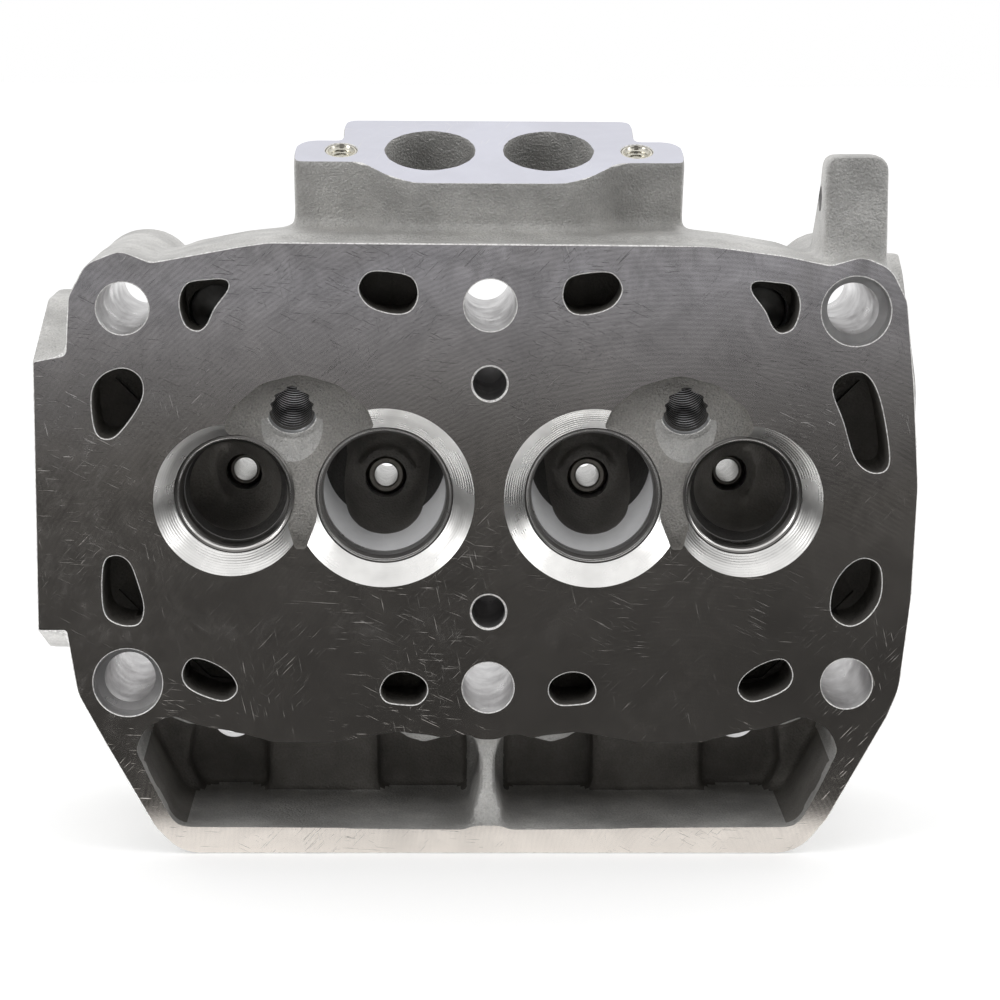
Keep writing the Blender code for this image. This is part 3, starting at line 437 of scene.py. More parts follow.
def loft(name, rings, finishes, closed=False):
    """A closed solid through rings of equal length (mm), with one finish or one for each band."""
    bands = len(rings) if closed else len(rings) - 1
    if isinstance(finishes, str):
        finishes = [finishes] * bands
    slots = list(dict.fromkeys(finishes))
    work = bmesh.new()
    made = [[work.verts.new(Vector(point) * MM) for point in ring] for ring in rings]
    count = len(rings[0])
    for i in range(bands):
        lower, upper = made[i], made[(i + 1) % len(made)]
        for k in range(count):
            face = work.faces.new((lower[k], lower[(k + 1) % count], upper[(k + 1) % count], upper[k]))
            face.material_index = slots.index(finishes[i])
            face.smooth = True
    if not closed:
        for ring, finish in ((made[0], finishes[0]), (made[-1], finishes[-1])):
            face = work.faces.new(ring)
            face.material_index = slots.index(finish)
    bmesh.ops.recalc_face_normals(work, faces=work.faces)
    mesh = bpy.data.meshes.new(name)
    work.to_mesh(mesh)
    work.free()
    for slot in slots:
        mesh.materials.append(FINISHES[slot])
    solid = bpy.data.objects.new(name, mesh)
    bpy.context.scene.collection.objects.link(solid)
    return solid


def face_ring(points, y):
    return [(p.x, y, p.y) for p in points]


def prism(name, outline, low, high, finish="cast", plane="face", lip=0.0):
    """An outline extruded along the depth axis; lip adds a deburred edge at the sealing face."""
    lay = {"face": lambda p, d: (p.x, d, p.y), "end": lambda p, d: (d, p.x, p.y),
           "flange": lambda p, d: flange_point(p.x, p.y) + FLANGE_NORMAL * d}[plane]
    if lip:
        levels = ((low, lip - low), (lip, 0.0), (high, 0.0))
        rings = [[lay(p, y) for p in grown(outline, grow)] for y, grow in levels]
        return loft(name, rings, ["edge", finish])
    return loft(name, [[lay(p, low) for p in outline], [lay(p, high) for p in outline]], finish)


def axis_frame(base, direction):
    turn = Vector((0, 0, 1)).rotation_difference(Vector(direction))
    return Matrix.Translation(Vector(base)) @ turn.to_matrix().to_4x4()


def lathe(name, profile, finishes, base, direction, facets=FINE, closed=False):
    """A turned solid from (radius, distance along the axis) pairs; closed makes a ring."""
    place = axis_frame(base, direction)
    rings = [[place @ Vector((p.x, p.y, height)) for p in circle(radius, facets)] for radius,
             height in profile]
    return loft(name, rings, finishes, closed)


def rod(name, start, end, radius, finish="cast", facets=48):
    span = Vector(end) - Vector(start)
    return lathe(name, ((radius, 0), (radius, span.length)), finish, start, span, facets)


def duct(name, points, radii, finish="cast_dark", facets=32, steps=6):
    """A round passage along a smooth path; radii gives one radius for each point."""
    p = [Vector(point) for point in points]
    p = [2 * p[0] - p[1]] + p + [2 * p[-1] - p[-2]]
    r = [radii[0]] + list(radii) + [radii[-1]]
    centres, sizes = [], []
    for i in range(1, len(p) - 2):
        a, b, c, d = p[i - 1:i + 3]
        for k in range(steps + (i == len(p) - 3)):
            t = k / steps
            centres.append(curve_point(a, b, c, d, t))
            sizes.append(r[i] + (r[i + 1] - r[i]) * t)
    rings = []
    turn = None
    for i, centre in enumerate(centres):
        ahead = (centres[min(i + 1, len(centres) - 1)] - centres[max(i - 1, 0)]).normalized()
        if turn is None:
            turn = Vector((0, 0, 1)).rotation_difference(ahead)
        else:
            turn = last.rotation_difference(ahead) @ turn
        last = ahead
        rings.append([centre + turn @ Vector((q.x, q.y, 0)) for q in circle(sizes[i], facets)])
    return loft(name, rings, finish)


def evaluated(piece):
    bpy.context.view_layer.update()
    return bpy.data.meshes.new_from_object(piece.evaluated_get(bpy.context.evaluated_depsgraph_get()))


def apply(piece, kind, **settings):
    step = piece.modifiers.new(kind.lower(), kind)
    for key, value in settings.items():
        setattr(step, key, value)
    mesh = evaluated(piece)
    piece.modifiers.clear()
    old = piece.data
    piece.data = mesh
    bpy.data.meshes.remove(old)


def combine(piece, operation, solids):
    """Join or cut with all the solids at once, keeping each solid's finish, then remove them."""
    group = bpy.data.collections.new("operands")
    for solid in solids:
        group.objects.link(solid)
    apply(piece, "BOOLEAN", operation=operation, solver="MANIFOLD", operand_type="COLLECTION",
          collection=group, material_mode="TRANSFER")
    for solid in solids:
        bpy.data.objects.remove(solid)
    bpy.data.collections.remove(group)


# ---- shared axes ---------------------------------------------------------------------------------
FLANGE_UP = Vector((0, cos(FLANGE_TILT), sin(FLANGE_TILT)))
FLANGE_NORMAL = Vector((0, -sin(FLANGE_TILT), cos(FLANGE_TILT)))
PLUG_AXIS = Vector((0, cos(PLUG_TILT), sin(PLUG_TILT)))


def flange_point(x, up):
    return FLANGE_FRONT + Vector((x, 0, 0)) + FLANGE_UP * up


def valve_axis(kind, side):
    if kind == "intake":
        return Vector((0, 1, 0))
    return Vector((-side * tan(EXHAUST_LEAN_OUT), 1, tan(EXHAUST_LEAN_UP))).normalized()


def pad_x(side):
    return LEFT_PAD_X if side < 0 else RIGHT_PAD_X


# ---- the casting ---------------------------------------------------------------------------------
def casting_solids():
    yield prism("rocker_box", rounded(ROCKER_BOX), DECK_DEPTH - 4, HEAD_DEPTH + STOCK)
    yield prism("top_swell", rounded(TOP_SWELL), 11, DECK_DEPTH)
    yield prism("left_pad", rounded(LEFT_PAD), LEFT_PAD_X - STOCK, -116, plane="end")
    yield prism("right_pad", rounded(RIGHT_PAD), 116, RIGHT_PAD_X + STOCK, plane="end")
    yield prism("intake_block", rounded(INTAKE_FLANGE), -34, STOCK, plane="flange")
    yield prism("port_block", rounded(((-48, 20, 4), (-48, 84, 8), (48, 84, 8), (48, 20, 4))), 40, 64)
    yield prism("lug", rounded(LUG_OUTLINE), 7, 43)
    tower_end = STUD_BOSS_DEPTH + STOCK
    yield rod("middle_tower", (0, TOWER_START, STUD_MID_Z), (0, tower_end, STUD_MID_Z), TOWER_R_MIDDLE)
    yield prism("middle_web", rounded(((-7, 30, 1), (-7, 58, 1), (7, 58, 1), (7, 30, 1))), 40, 84)
    for side in SIDES.values():
        low, high = sorted((side * 95, side * 118))
        yield prism("exhaust_neck", rounded(EXHAUST_NECK), low, high, plane="end")
        mouth = Vector((side * PLUG_X, 0, PLUG_Z))
        yield rod("plug_boss", mouth + PLUG_AXIS * 30, mouth + PLUG_AXIS * (PLUG_BOSS_END + STOCK),
                  PLUG_BOSS_R)
        for z in (STUD_Z, -STUD_Z):
            yield rod("corner_tower", (side * STUD_X, TOWER_START, z), (side * STUD_X, tower_end, z),
                      TOWER_R_UPPER if z > 0 else TOWER_R_LOWER)
        web = ((side * 98, 30, 1), (side * 98, 60, 1), (side * 114, 60, 1), (side * 114, 30, 1))
        yield prism("tower_web", rounded(web), 40, 82)


def casting_hollows():
    yield prism("rocker_chamber", rounded(ROCKER_CHAMBER), CHAMBER_FLOOR, HEAD_DEPTH + 6)
    yield prism("lug_back", rounded(LUG_BACK), 98, 126, plane="end")
    # Windows, pockets and ports carry the dark cast finish as painted shade.
    for outline in (WINDOW_RIGHT, mirrored(WINDOW_RIGHT)):
        yield prism("window", rounded(outline), -6, WINDOW_PANEL_Y, "cast_dark")
    yield prism("rib_front", rounded(((-6, -104.4, 1), (-6, -76.5, 2), (6, -76.5, 2), (6, -104.4, 1))), -6,
                2.5)
    for side in SIDES.values():
        inner = ((side * 6, WINDOW_FLOOR_Z + 0.5, 2), (side * 6, -77, 4), (side * 35, -77, 4),
                 (side * 35, WINDOW_FLOOR_Z + 0.5, 2))
        outer = ((side * 71, WINDOW_FLOOR_Z + 0.5, 2), (side * 71, -76, 4), (side * 94, -75, 6),
                 (side * 97, -96, 8), (side * 92, WINDOW_FLOOR_Z + 0.5, 2))
        yield prism("inner_pocket", rounded(inner), WINDOW_PANEL_Y - 6, 50, "cast_dark")
        yield prism("outer_pocket", rounded(outer), WINDOW_PANEL_Y - 6, 52, "cast_dark")
        mouth = flange_point(side * PORT_X, PORT_UP)
        yield duct("intake_port", (mouth + FLANGE_NORMAL * 8, mouth, mouth - FLANGE_NORMAL * 16,
                                   (side * 24, 43, 55), (side * 30.5, 40, 20), (side * 32.4, 27, 1),
                                   (side * 32.4, 16, -1)),
                   (PORT_R, PORT_R, PORT_R, PORT_R, PORT_R, 14.2, 14.2))
        end = pad_x(side) + side * 6
        yield duct("exhaust_port", ((side * 79, 16, 0), (side * 81, 26, 0.5), (side * 97, 37, 0.5),
                                    (side * 118, EXHAUST_PORT_Y, 0), (end, EXHAUST_PORT_Y, 0)),
                   (14.5, 14.5, EXHAUST_PORT_R, EXHAUST_PORT_R, EXHAUST_PORT_R))


def casting_bosses():
    floor = CHAMBER_FLOOR - 2
    yield rod("lower_middle_boss", (0, floor, -STUD_MID_Z), (0, LOWER_MIDDLE_BOSS_END, -STUD_MID_Z),
              LOWER_MIDDLE_BOSS_R)
    for side in SIDES.values():
        yield rod("inner_hump", (side * 19.7, 4, -67.5), (side * 19.7, 30, -67.5), 11)
        yield rod("outer_hump", (side * 91, 5, -60.5), (side * 91, 30, -60.5), 13)
        for kind, (x, *_sizes) in VALVES.items():
            axis = valve_axis(kind, side)
            start = Vector((side * x, 0, 0))
            yield rod("spring_pad", start + axis * floor, start + axis * (SPRING_SEAT - 4 + STOCK),
                      SPRING_PAD_R)
            yield rod("guide_boss", start + axis * floor, start + axis * (SPRING_SEAT + 3), GUIDE_BOSS_R)
            yield rod("guide_foot", start + axis * 40, start + axis * floor, GUIDE_FOOT_R)
        for x in ROCKER_STUD_X:
            yield rod("rocker_boss", (side * x, floor, ROCKER_STUD_Z),
                      (side * x, ROCKER_BOSS_END + STOCK, ROCKER_STUD_Z), ROCKER_BOSS_R)


def slab(name, low, high, finish, place=None):
    """A block between two corners, in small faces, used to skim a flat face."""
    work = bmesh.new()
    bmesh.ops.create_cube(work, size=1)
    bmesh.ops.subdivide_edges(work, edges=work.edges[:], cuts=15, use_grid_fill=True)
    low, high = Vector(low), Vector(high)
    middle = Matrix.Translation((low + high) / 2) @ Matrix.Diagonal((*(high - low), 1))
    work.transform(Matrix.Scale(MM, 4) @ (place or Matrix()) @ middle)
    mesh = bpy.data.meshes.new(name)
    work.to_mesh(mesh)
    work.free()
    mesh.materials.append(FINISHES[finish])
    block = bpy.data.objects.new(name, mesh)
    bpy.context.scene.collection.objects.link(block)
    return block


def edge_band(points, ring, width=CHAMFER):
    """Triangular band that chamfers the rim of a machined face."""
    reach = 1.6
    steps = ((-width - reach, -reach), (reach, width + reach), (reach, -reach))
    return loft("rim_chamfer", [ring(grown(points, grow), depth) for grow, depth in steps], "edge",
                closed=True)


def flange_ring(points, depth):
    return [flange_point(p.x, p.y) - FLANGE_NORMAL * depth for p in points]


def skimming_cuts():
    wide = 160
    yield slab("face_cut", (-wide, -12, -wide), (wide, 0, wide), "milled")
    yield slab("rim_cut", (-wide, HEAD_DEPTH, -wide), (wide, HEAD_DEPTH + 12, wide), "flange")
    yield slab("left_pad_cut", (LEFT_PAD_X - 12, -20, -wide), (LEFT_PAD_X, 110, wide), "flange")
    yield slab("right_pad_cut", (RIGHT_PAD_X, -20, -wide), (RIGHT_PAD_X + 12, 110, wide), "flange")
    yield slab("base_cut", (-wide, -20, BASE_Z - 12), (wide, 110, BASE_Z), "cast")
    flange = Matrix.Translation(FLANGE_FRONT) @ Matrix.Rotation(FLANGE_TILT, 4, "X")
    yield slab("flange_cut", (-75, -20, 0), (75, 70, 14), "flange", flange)
    yield edge_band(rounded(FACE_OUTLINE), face_ring)
    yield edge_band(rounded(INTAKE_FLANGE), flange_ring, 0.35)
    for side in SIDES.values():
        for z in (STUD_Z, -STUD_Z):
            yield rod("nut_seat", (side * STUD_X, STUD_BOSS_DEPTH, z),
                      (side * STUD_X, HEAD_DEPTH + OVERCUT, z), NUT_SEAT_R, "flange")
    yield rod("nut_seat", (0, STUD_BOSS_DEPTH, STUD_MID_Z), (0, HEAD_DEPTH + OVERCUT, STUD_MID_Z),
              NUT_SEAT_R_MIDDLE, "flange")


def slot_cuts():
    loops = list(SINGLE_SLOTS)
    for loop in TWIN_SLOTS:
        loops += [loop, mirrored(loop)]
    # Slots and galleries carry the dark cast finish as painted shade.
    for loop in loops:
        yield prism("coolant_slot", smooth_loop(loop), -1.5, SLOT_DEPTH, "cast_dark", lip=CHAMFER)
    for side in SIDES.values():
        for line in GALLERIES:
            path = [Vector((side * x, z)) for x, z in line]
            yield prism("gallery", ribbon(path, 5.5), 14, 26, "cast_dark")


def ribbon(path, half_width):
    near, far = [], []
    for i, point in enumerate(path):
        ahead = path[min(i + 1, len(path) - 1)] - path[max(i - 1, 0)]
        across = Vector((-ahead.y, ahead.x)).normalized() * half_width
        near.append(point + across)
        far.append(point - across)
    return near + far[::-1]


def drilled(name, base, direction, radius, depth, finish="bored", lip=CHAMFER, facets=FINE):
    """A hole with a deburred mouth."""
    profile = ((radius + lip + LIP_REACH, -LIP_REACH), (radius, lip), (radius, depth))
    return lathe(name, profile, ["edge", finish], base, direction, facets)


def hole_cuts():
    for side in SIDES.values():
        for z in (STUD_Z, -STUD_Z):
            if side * z > 0:
                profile = ((DOWEL_R + CHAMFER + LIP_REACH, -LIP_REACH), (DOWEL_R, CHAMFER),
                           (DOWEL_R, DOWEL_DEPTH), (STUD_BORE_R, DOWEL_DEPTH),
                           (STUD_BORE_R, HEAD_DEPTH + OVERCUT))
                finishes = ["edge", "bored", "bored", "bored"]
                yield lathe("stud_bore", profile, finishes, (side * STUD_X, 0, z), (0, 1, 0))
            else:
                yield drilled("stud_bore", (side * STUD_X, 0, z), (0, 1, 0), STUD_BORE_R,
                              HEAD_DEPTH + OVERCUT)
        for x in PUSHROD_X:
            yield rod("pushrod_bore", (side * x, WINDOW_PANEL_Y - OVERCUT, PUSHROD_Z),
                      (side * x, CHAMBER_FLOOR + OVERCUT, PUSHROD_Z), PUSHROD_R, "bored")
        for x in ROCKER_STUD_X:
            above = ROCKER_BOSS_END + 6
            yield rod("rocker_face", (side * x, ROCKER_BOSS_END, ROCKER_STUD_Z),
                      (side * x, above, ROCKER_STUD_Z), ROCKER_BOSS_R + 0.6, "flange")
            yield rod("rocker_hole", (side * x, 60, ROCKER_STUD_Z), (side * x, above, ROCKER_STUD_Z),
                      ROCKER_STUD_R + 2 * FIT, "bored", 32)
        yield rod("core_plug_hole", (side * CORE_PLUG_X, 24, CORE_PLUG_Z),
                  (side * CORE_PLUG_X, DECK_DEPTH + 3, CORE_PLUG_Z), CORE_PLUG_R + FIT, "bored")
        mouth = flange_point(side * FLANGE_HOLE_X, PORT_UP)
        yield drilled("flange_hole", mouth, -FLANGE_NORMAL, INSERT_R + FIT, INSERT_LENGTH + 2, lip=0.25)
        for z in (EXHAUST_HOLE_Z, -EXHAUST_HOLE_Z):
            yield drilled("exhaust_hole", (pad_x(side), EXHAUST_PORT_Y, z), (-side, 0, 0), INSERT_R + FIT,
                          INSERT_LENGTH + 2, lip=0.25)
    for z in (STUD_MID_Z, -STUD_MID_Z):
        yield drilled("stud_bore", (0, 0, z), (0, 1, 0), STUD_BORE_R, HEAD_DEPTH + OVERCUT)
    for z in (CENTRE_HOLE_Z, -CENTRE_HOLE_Z):
        yield drilled("centre_hole", (0, 0, z), (0, 1, 0), CENTRE_HOLE_R, CENTRE_HOLE_DEPTH, lip=0.6)
    low, high = LUG_HOLE_SPAN
    yield rod("lug_hole", (low, LUG_HOLE_Y, LUG_HOLE_Z), (high, LUG_HOLE_Y, LUG_HOLE_Z), LUG_HOLE_R,
              "bored", 32)


def intake_bowl(x, radius, start):
    """The machined throat below the seat: it rises with the port and opens into the hollow behind, darkened
    as painted shade.
    """
    levels = ((0, 0, radius), (14.5, 7.6, radius), (15, 7.8, radius), (27, 16, 15))
    rings = [[(x + p.x, start - 0.2 + deeper, rise + p.y) for p in circle(size, FINE)]
             for deeper, rise, size in levels]
    return loft("intake_bowl", rings, ["bowl", "deep_painted_shade", "deep_painted_shade"])


def valve_cuts():
    for side in SIDES.values():
        for kind, (x, relief_r, seat_r, throat_r, guide_r) in VALVES.items():
            axis = valve_axis(kind, side)
            base = (side * x, 0, 0)
            slope = (relief_r - seat_r) / RELIEF_DEPTH
            bottom = RELIEF_DEPTH + SEAT_HEIGHT
            profile = [(relief_r + OVERCUT * slope, -OVERCUT), (seat_r + FIT, RELIEF_DEPTH),
                       (seat_r + FIT, bottom)]
            finishes = ["relief", "bored"]
            # Past the exhaust seat the throat takes the darkest finish as painted shade.
            if kind == "exhaust":
                profile += [(throat_r - 0.2, bottom), (throat_r - 1.4, bottom + 9)]
                finishes += ["bored", "deep_painted_shade"]
            else:
                yield intake_bowl(side * x, throat_r - 0.3, bottom)
            yield lathe("valve_relief", profile, finishes, base, axis, 96)
            yield lathe("guide_bore", ((guide_r + FIT, 20), (guide_r + FIT, HEAD_DEPTH)), "bored", base,
                        axis, 48)
            yield lathe("spring_seat",
                        ((15.5, SPRING_SEAT - 4), (15.5, SPRING_SEAT + 2), (11, SPRING_SEAT + 2),
                                        (11, SPRING_SEAT - 4)), "bored", base, axis, closed=True)


def chamber_cuts():
    """The shallow coarse-cast pocket between two valves, with a fillet round its floor."""
    depth, fillet = CHAMBER_DEPTH, CHAMBER_FILLET
    levels = ((-OVERCUT, 0), (depth - fillet, 0), (depth - 0.35 * fillet, -0.35 * fillet), (depth, -fillet))
    for outline in (CHAMBER, mirrored(CHAMBER)):
        points = rounded(outline)
        yield loft("chamber", [face_ring(grown(points, grow), y) for y, grow in levels], "cast_coarse")


def plug_cuts():
    """Threaded spark-plug holes with a countersunk mouth and a well behind."""
    pitch, crest, root, start = THREAD_PITCH, 6.25, 6.95, PLUG_MOUTH + 0.8
    out = 9.0                   # how far the countersink's cone reaches out of the face
    for side in SIDES.values():
        mouth = Vector((side * PLUG_X, 0, PLUG_Z))
        profile = [(PLUG_SCOOP_R + (PLUG_MOUTH + out) * PLUG_SCOOP_SLOPE, -out), (PLUG_SCOOP_R, PLUG_MOUTH),
                   (PLUG_MOUTH_R + 0.3, PLUG_MOUTH + 0.1), (PLUG_MOUTH_R, PLUG_MOUTH + 0.2), (root, start)]
        # Thread crests take the darker thread wall, flanks and roots the darkest finish: painted shade in
        # the threaded hole.
        finishes = ["cast", "cast", "edge", "thread"]
        for k in range(int((PLUG_REACH - start) / pitch)):
            turn = start + pitch * k
            profile += [(root, turn + 0.15), (crest, turn + 0.5), (crest, turn + 0.85), (root, turn + 1.2)]
            finishes += ["deep_painted_shade", "deep_painted_shade", "thread", "deep_painted_shade"]
        profile += [(PLUG_WELL_R, PLUG_REACH + 1), (PLUG_WELL_R, PLUG_BOSS_END + 14)]
        finishes += ["bored", "bored"]
        yield lathe("plug_hole", profile, finishes, mouth, PLUG_AXIS, 64)


def make_casting():
    """The aluminium body."""
    body = prism("casting", grown(rounded(FACE_OUTLINE), 0.15), -STOCK, DECK_DEPTH)
    combine(body, "UNION", list(casting_solids()))
    combine(body, "DIFFERENCE", list(casting_hollows()))
    combine(body, "UNION", list(casting_bosses()))
    apply(body, "REMESH", mode="VOXEL", voxel_size=VOXEL * MM)
    apply(body, "SMOOTH", factor=0.5, iterations=SMOOTHING)
    apply(body, "DECIMATE", ratio=0.42)
    body.data.materials.clear()
    body.data.materials.append(FINISHES["cast"])
    body.data.materials.append(FINISHES["cast_dark"])
    # Polygons inside the windows and ports take the dark cast finish: painted shade in these recesses.
    for polygon in body.data.polygons:
        x, y, z = polygon.center / MM
        in_window = 6 < abs(x) < 108 and 12 < y < 57 and WINDOW_FLOOR_Z + 1 < z < -66
        in_port = 8 < y < 54 and abs(z) < 24 and abs(x) < 112
        polygon.material_index = int(in_window or in_port)
    for cuts in (skimming_cuts, slot_cuts, hole_cuts, chamber_cuts, valve_cuts, plug_cuts):
        combine(body, "DIFFERENCE", list(cuts()))
    body.data.shade_smooth()
    body.data.set_sharp_from_angle(angle=radians(32))
    body.name = "cast_body"
    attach(body, BODY)
    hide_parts("head_casting")
    print("casting triangles", sum(len(p.vertices) - 2 for p in body.data.polygons))
    return body


# ---- the fitted pieces ---------------------------------------------------------------------------
def steel_material(name, colour, roughness, scale):
    m = Nodes(name, colour, roughness, 1.0)
    haze = m.noise(scale, 3, 0.6)
    fine = m.noise(scale * 12, 2, 0.6)
    m.set("Base Color", m.blend(m.remap(haze, 0.3, 0.7), tuple(c * 0.75 for c in colour),
                                tuple(min(1, c * 1.12) for c in colour)))
    m.set("Roughness", m.remap(fine, 0.3, 0.7, roughness - 0.06, roughness + 0.1))
    m.set("Normal", m.bump(fine, 0.15, 0.0001))
    return m.material


FINISHES.update({
    "seat": turned_material("seat_ring", (0.30, 0.29, 0.28), 0.3, 12000.0),
    "seat_face": turned_material("seat_lapped_face", (0.75, 0.74, 0.72), 0.2, 12000.0),
    "bronze": steel_material("guide_bronze", (0.50, 0.47, 0.42), 0.33, 300),
    "guide_bore": steel_material("guide_reamed_bore", (0.55, 0.545, 0.53), 0.3, 300),
    "insert": steel_material("insert_stainless", (0.78, 0.75, 0.66), 0.25, 400),
    "stud": steel_material("stud_zinc", (0.62, 0.63, 0.66), 0.3, 250),
    "cup": steel_material("core_plug_steel", (0.55, 0.55, 0.54), 0.38, 250),
})


def finish_piece(piece, node):
    piece.name = node + "_detail"
    piece.data.shade_smooth()
    piece.data.set_sharp_from_angle(angle=radians(30))
    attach(piece, BODY)
    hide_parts(node)


def make_seat(kind, side_name):
    side = SIDES[side_name]
    x, _relief, seat_r, throat_r, _guide = VALVES[kind]
    top, bottom = RELIEF_DEPTH + 0.15, RELIEF_DEPTH + SEAT_HEIGHT - 0.1
    profile = ((seat_r, bottom), (seat_r, top + 0.3), (seat_r - 0.3, top), (throat_r + 1.5, top + 0.25),
               (throat_r + 0.9, top + 0.85), (throat_r, top + 2.4), (throat_r, bottom))
    finishes = ["seat", "seat", "seat", "seat_face", "seat", "seat", "seat"]
    piece = lathe("seat", profile, finishes, (side * x, 0, 0), valve_axis(kind, side), 96, closed=True)
    finish_piece(piece, f"{kind}_valve_seat_{side_name}")


def make_guide(kind, side_name):
    side = SIDES[side_name]
    x, *_sizes, guide_r = VALVES[kind]
    bore, lead = GUIDE_BORE_R, 1.3
    profile = ((bore + 0.5, GUIDE_START), (guide_r - lead, GUIDE_START), (guide_r, GUIDE_START + lead * 2),
               (guide_r, GUIDE_END - 6), (guide_r - 0.5, GUIDE_END - 5.4), (guide_r - 0.5, GUIDE_END - 4.4),
               (guide_r, GUIDE_END - 3.8), (guide_r, GUIDE_END - lead), (guide_r - lead, GUIDE_END),
               (bore + 0.5, GUIDE_END), (bore, GUIDE_END - 0.5), (bore, GUIDE_START + 0.5))
    finishes = ["bronze"] * 10 + ["guide_bore", "bronze"]
    piece = lathe("guide", profile, finishes, (side * x, 0, 0), valve_axis(kind, side), 48, closed=True)
    finish_piece(piece, f"{kind}_valve_guide_{side_name}")


def make_insert(node, mouth, inward, notch_up):
    """Threaded bush with a keying notch in its rim."""
    pitch, crest, root = THREAD_PITCH, 3.4, 4.05
    turns = int((INSERT_LENGTH - 1.6) / pitch)
    profile = [(INSERT_R, INSERT_LENGTH), (INSERT_R, 0.6), (INSERT_R - 0.25, 0.35), (root + 0.25, 0.35),
               (root, 0.8)]
    for k in range(turns):
        start = 0.8 + k * pitch
        profile += [(crest, start + pitch * 0.5), (root, start + pitch)]
    profile.append((root, INSERT_LENGTH))
    piece = lathe("insert", profile, "insert", mouth, inward, 48, closed=True)
    across = Vector(inward).cross(notch_up).normalized()
    centre = Vector(mouth) + Vector(notch_up) * (INSERT_R - 0.4)
    corners = ((-0.7, -1.0), (0.7, -1.0), (0.7, 1.4), (-0.7, 1.4))
    rings = [[centre + across * a + Vector(notch_up) * b + Vector(inward) * d for a,
              b in corners] for d in (-1, 3.2)]
    combine(piece, "DIFFERENCE", [loft("notch", rings, "insert")])
    finish_piece(piece, node)


def threaded_profile(radius, start, end, pitch, depth):
    """Down the outside of a thread as (radius, height) pairs."""
    count = int((end - start) / pitch)
    profile = []
    for k in range(count):
        profile += [(radius - depth, start + k * pitch), (radius, start + (k + 0.5) * pitch)]
    return profile + [(radius - depth, start + count * pitch)]


def make_rocker_stud(node, x):
    start = 60.3
    length = ROCKER_STUD_END - start
    r = ROCKER_STUD_R
    profile = [(r - 1.2, 0)] + threaded_profile(r, 0.8, 16.5, THREAD_PITCH, 0.55)
    profile += [(r, 18), (r, length - 17.5)] + threaded_profile(r, length - 16.8, length - 1.2,
                                                                THREAD_PITCH, 0.55)
    profile += [(r - 1.2, length)]
    piece = lathe("stud", profile, "stud", (x, start, ROCKER_STUD_Z), (0, 1, 0), 32)
    finish_piece(piece, node)


def make_core_plug(node, x):
    start, r, wall = 32.0, CORE_PLUG_R, 1.4
    depth = DECK_DEPTH - 1 - start
    profile = ((r - 1.2, 0), (r - 0.4, 0.4), (r, 1.4), (r, depth - 0.3), (r - 0.3, depth),
               (r - wall, depth), (r - wall, wall + 1.5), (r - wall - 1.2, wall), (1.0, wall))
    piece = lathe("cup", profile, "cup", (x, start, CORE_PLUG_Z), (0, 1, 0), 48)
    finish_piece(piece, node)


def make_fitted_pieces():
    for side_name, side in SIDES.items():
        for kind in VALVES:
            make_seat(kind, side_name)
            make_guide(kind, side_name)
        make_insert(f"intake_flange_thread_insert_{side_name}", flange_point(side * FLANGE_HOLE_X, PORT_UP),
                    -FLANGE_NORMAL, FLANGE_UP)
        for height, z in (("upper", EXHAUST_HOLE_Z), ("lower", -EXHAUST_HOLE_Z)):
            make_insert(f"exhaust_flange_thread_insert_{side_name}_{height}",
                        (pad_x(side), EXHAUST_PORT_Y, z), Vector((-side, 0, 0)), Vector((0, 0, 1)))
        for place, x in zip(("inner", "outer"), ROCKER_STUD_X):
            make_rocker_stud(f"rocker_shaft_stud_{side_name}_{place}", side * x)
        make_core_plug(f"core_plug_{side_name}", side * CORE_PLUG_X)


# ---- floor, light and camera ---------------------------------------------------------------------
def make_floor():
    """Pale floor.  For glossy rays only it is a painted reflection: glowing pale next to the head, pale far
    in front, and painted dark between.
    """
    mesh = bpy.data.meshes.new("floor")
    work = bmesh.new()
    bmesh.ops.create_grid(work, x_segments=1, y_segments=1, size=6)
    work.to_mesh(mesh)
    work.free()
    floor = bpy.data.objects.new("floor", mesh)
    floor.location.z = BASE_Z * MM - 0.0002
    bpy.context.scene.collection.objects.link(floor)
    m = Nodes("floor_paper", (0.93, 0.93, 0.93), 0.9, 0.0)
    parts = m.node("SeparateXYZ", {0: m.place})
    near = m.remap(parts.outputs["Y"], -0.05, -0.03)
    far = m.remap(parts.outputs["Y"], -0.85, -1.8, 0.0, 0.62)
    path = m.node("LightPath")
    # Painted reflection: for glossy rays only the floor is dark between the strip next to the head and the
    # far floor.
    shade = m.math("MULTIPLY", path.outputs["Is Glossy Ray"],
                   m.math("SUBTRACT", 1.0, m.math("MAXIMUM", near, far)))
    m.set("Base Color", m.blend(shade, (0.93, 0.93, 0.93), (0.025, 0.025, 0.025)))
    m.shader.inputs["Emission Color"].default_value = (1, 1, 1, 1)
    # Painted reflection: for glossy rays the floor next to the head glows.
    painted_reflection_glow = m.math("MULTIPLY", m.math("MULTIPLY", path.outputs["Is Glossy Ray"], near), 0.55)
    m.set("Emission Strength", m.math("ADD", m.math("MULTIPLY", path.outputs["Is Camera Ray"], 0.3), painted_reflection_glow))
    mesh.materials.append(m.material)


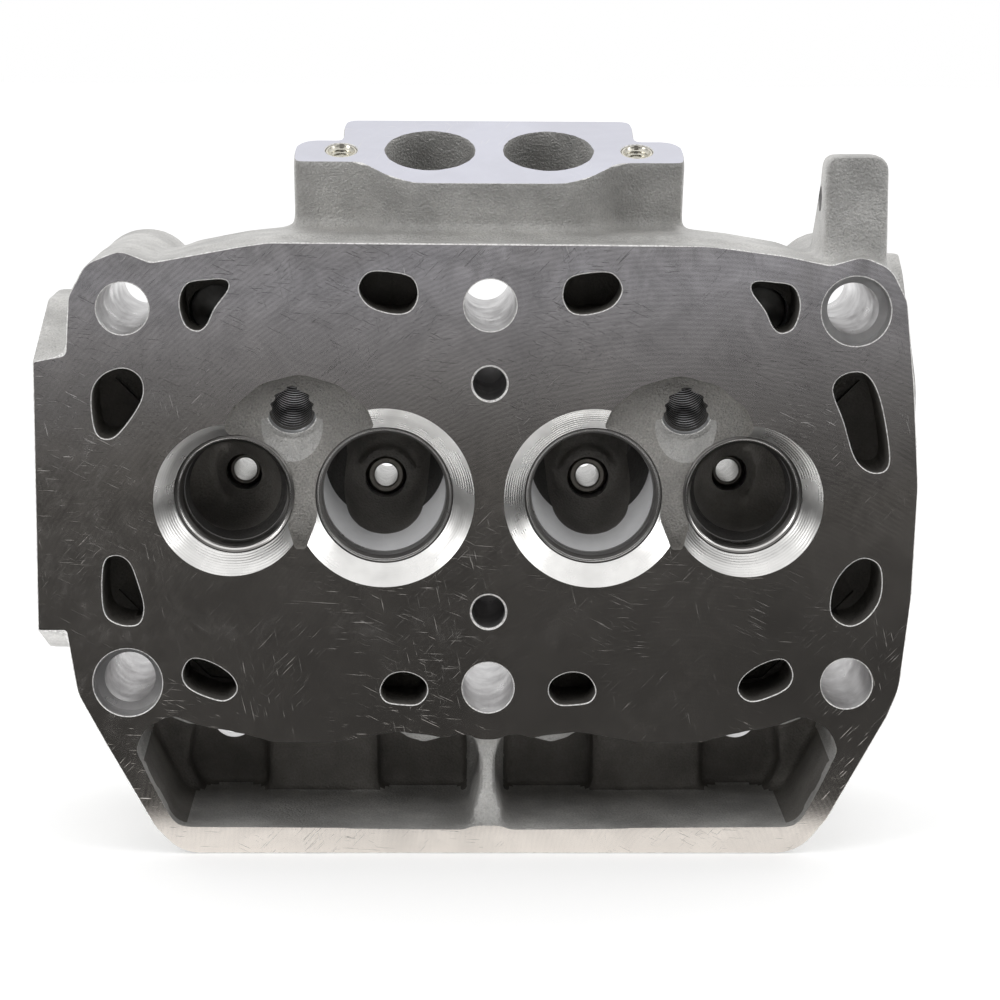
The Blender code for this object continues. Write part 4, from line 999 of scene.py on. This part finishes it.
def make_world():
    """A white tent that is open, and so dark, in front of the sealing face."""
    world = bpy.data.worlds.new("studio")
    bpy.context.scene.world = world
    world.use_nodes = True
    tree = world.node_tree
    back = tree.nodes["Background"]
    place = tree.nodes.new("ShaderNodeTexCoord").outputs["Generated"]
    split = tree.nodes.new("ShaderNodeSeparateXYZ")
    tree.links.new(place, split.inputs[0])

    def ramp(value, low, high, to_low, to_high):
        node = tree.nodes.new("ShaderNodeMapRange")
        node.interpolation_type = "SMOOTHSTEP"
        tree.links.new(value, node.inputs["Value"])
        for key, number in (("From Min", low), ("From Max", high), ("To Min", to_low), ("To Max", to_high)):
            node.inputs[key].default_value = number
        return node.outputs["Result"]

    def math(operation, a, b):
        node = tree.nodes.new("ShaderNodeMath")
        node.operation = operation
        for socket, value in ((node.inputs[0], a), (node.inputs[1], b)):
            if isinstance(value, bpy.types.NodeSocket):
                tree.links.new(value, socket)
            else:
                socket.default_value = value
        return node.outputs[0]

    front = ramp(split.outputs["Y"], -0.15, 0.6, 0.03, 0.95)
    top = ramp(split.outputs["Z"], 0.22, 0.75, 0.0, 1.0)
    level = math("MAXIMUM", front, top)
    path = tree.nodes.new("ShaderNodeLightPath")
    seen = path.outputs["Is Camera Ray"]
    mixed = math("ADD", math("MULTIPLY", level, math("SUBTRACT", 1.0, seen)), seen)
    tree.links.new(mixed, back.inputs["Strength"])
    back.inputs["Color"].default_value = (1, 1, 1, 1)


def make_light(name, place, aim, size, power):
    light = bpy.data.lights.new(name, "AREA")
    light.shape = "RECTANGLE"
    light.size, light.size_y = size
    light.energy = power
    lamp = bpy.data.objects.new(name, light)
    lamp.location = place
    lamp.rotation_euler = (Vector(aim) - Vector(place)).to_track_quat("-Z", "Y").to_euler()
    bpy.context.scene.collection.objects.link(lamp)


def make_camera():
    data = bpy.data.cameras.new("camera")
    data.sensor_width = 36.0
    data.lens = 110.33
    data.clip_end = 20
    camera = bpy.data.objects.new("camera", data)
    pitch, yaw, roll = radians(80.014), radians(-1.283), radians(0.38)
    turn = Matrix.Rotation(yaw, 4, "Z") @ Matrix.Rotation(pitch, 4, "X") @ Matrix.Rotation(roll, 4, "Z")
    camera.matrix_world = Matrix.Translation(Vector((-17.5, -930.2, 163.4)) * MM) @ turn
    bpy.context.scene.collection.objects.link(camera)
    bpy.context.scene.camera = camera


make_camera()
make_casting()
make_fitted_pieces()
make_floor()
make_world()
make_light("key_left", (-1.1, -0.75, 0.5), (0, 0.03, 0), (0.5, 0.5), 4)
make_light("fill_right", (1.1, -0.5, 0.5), (0, 0.03, 0), (0.4, 0.6), 2)
bpy.context.scene.view_settings.view_transform = "Standard"
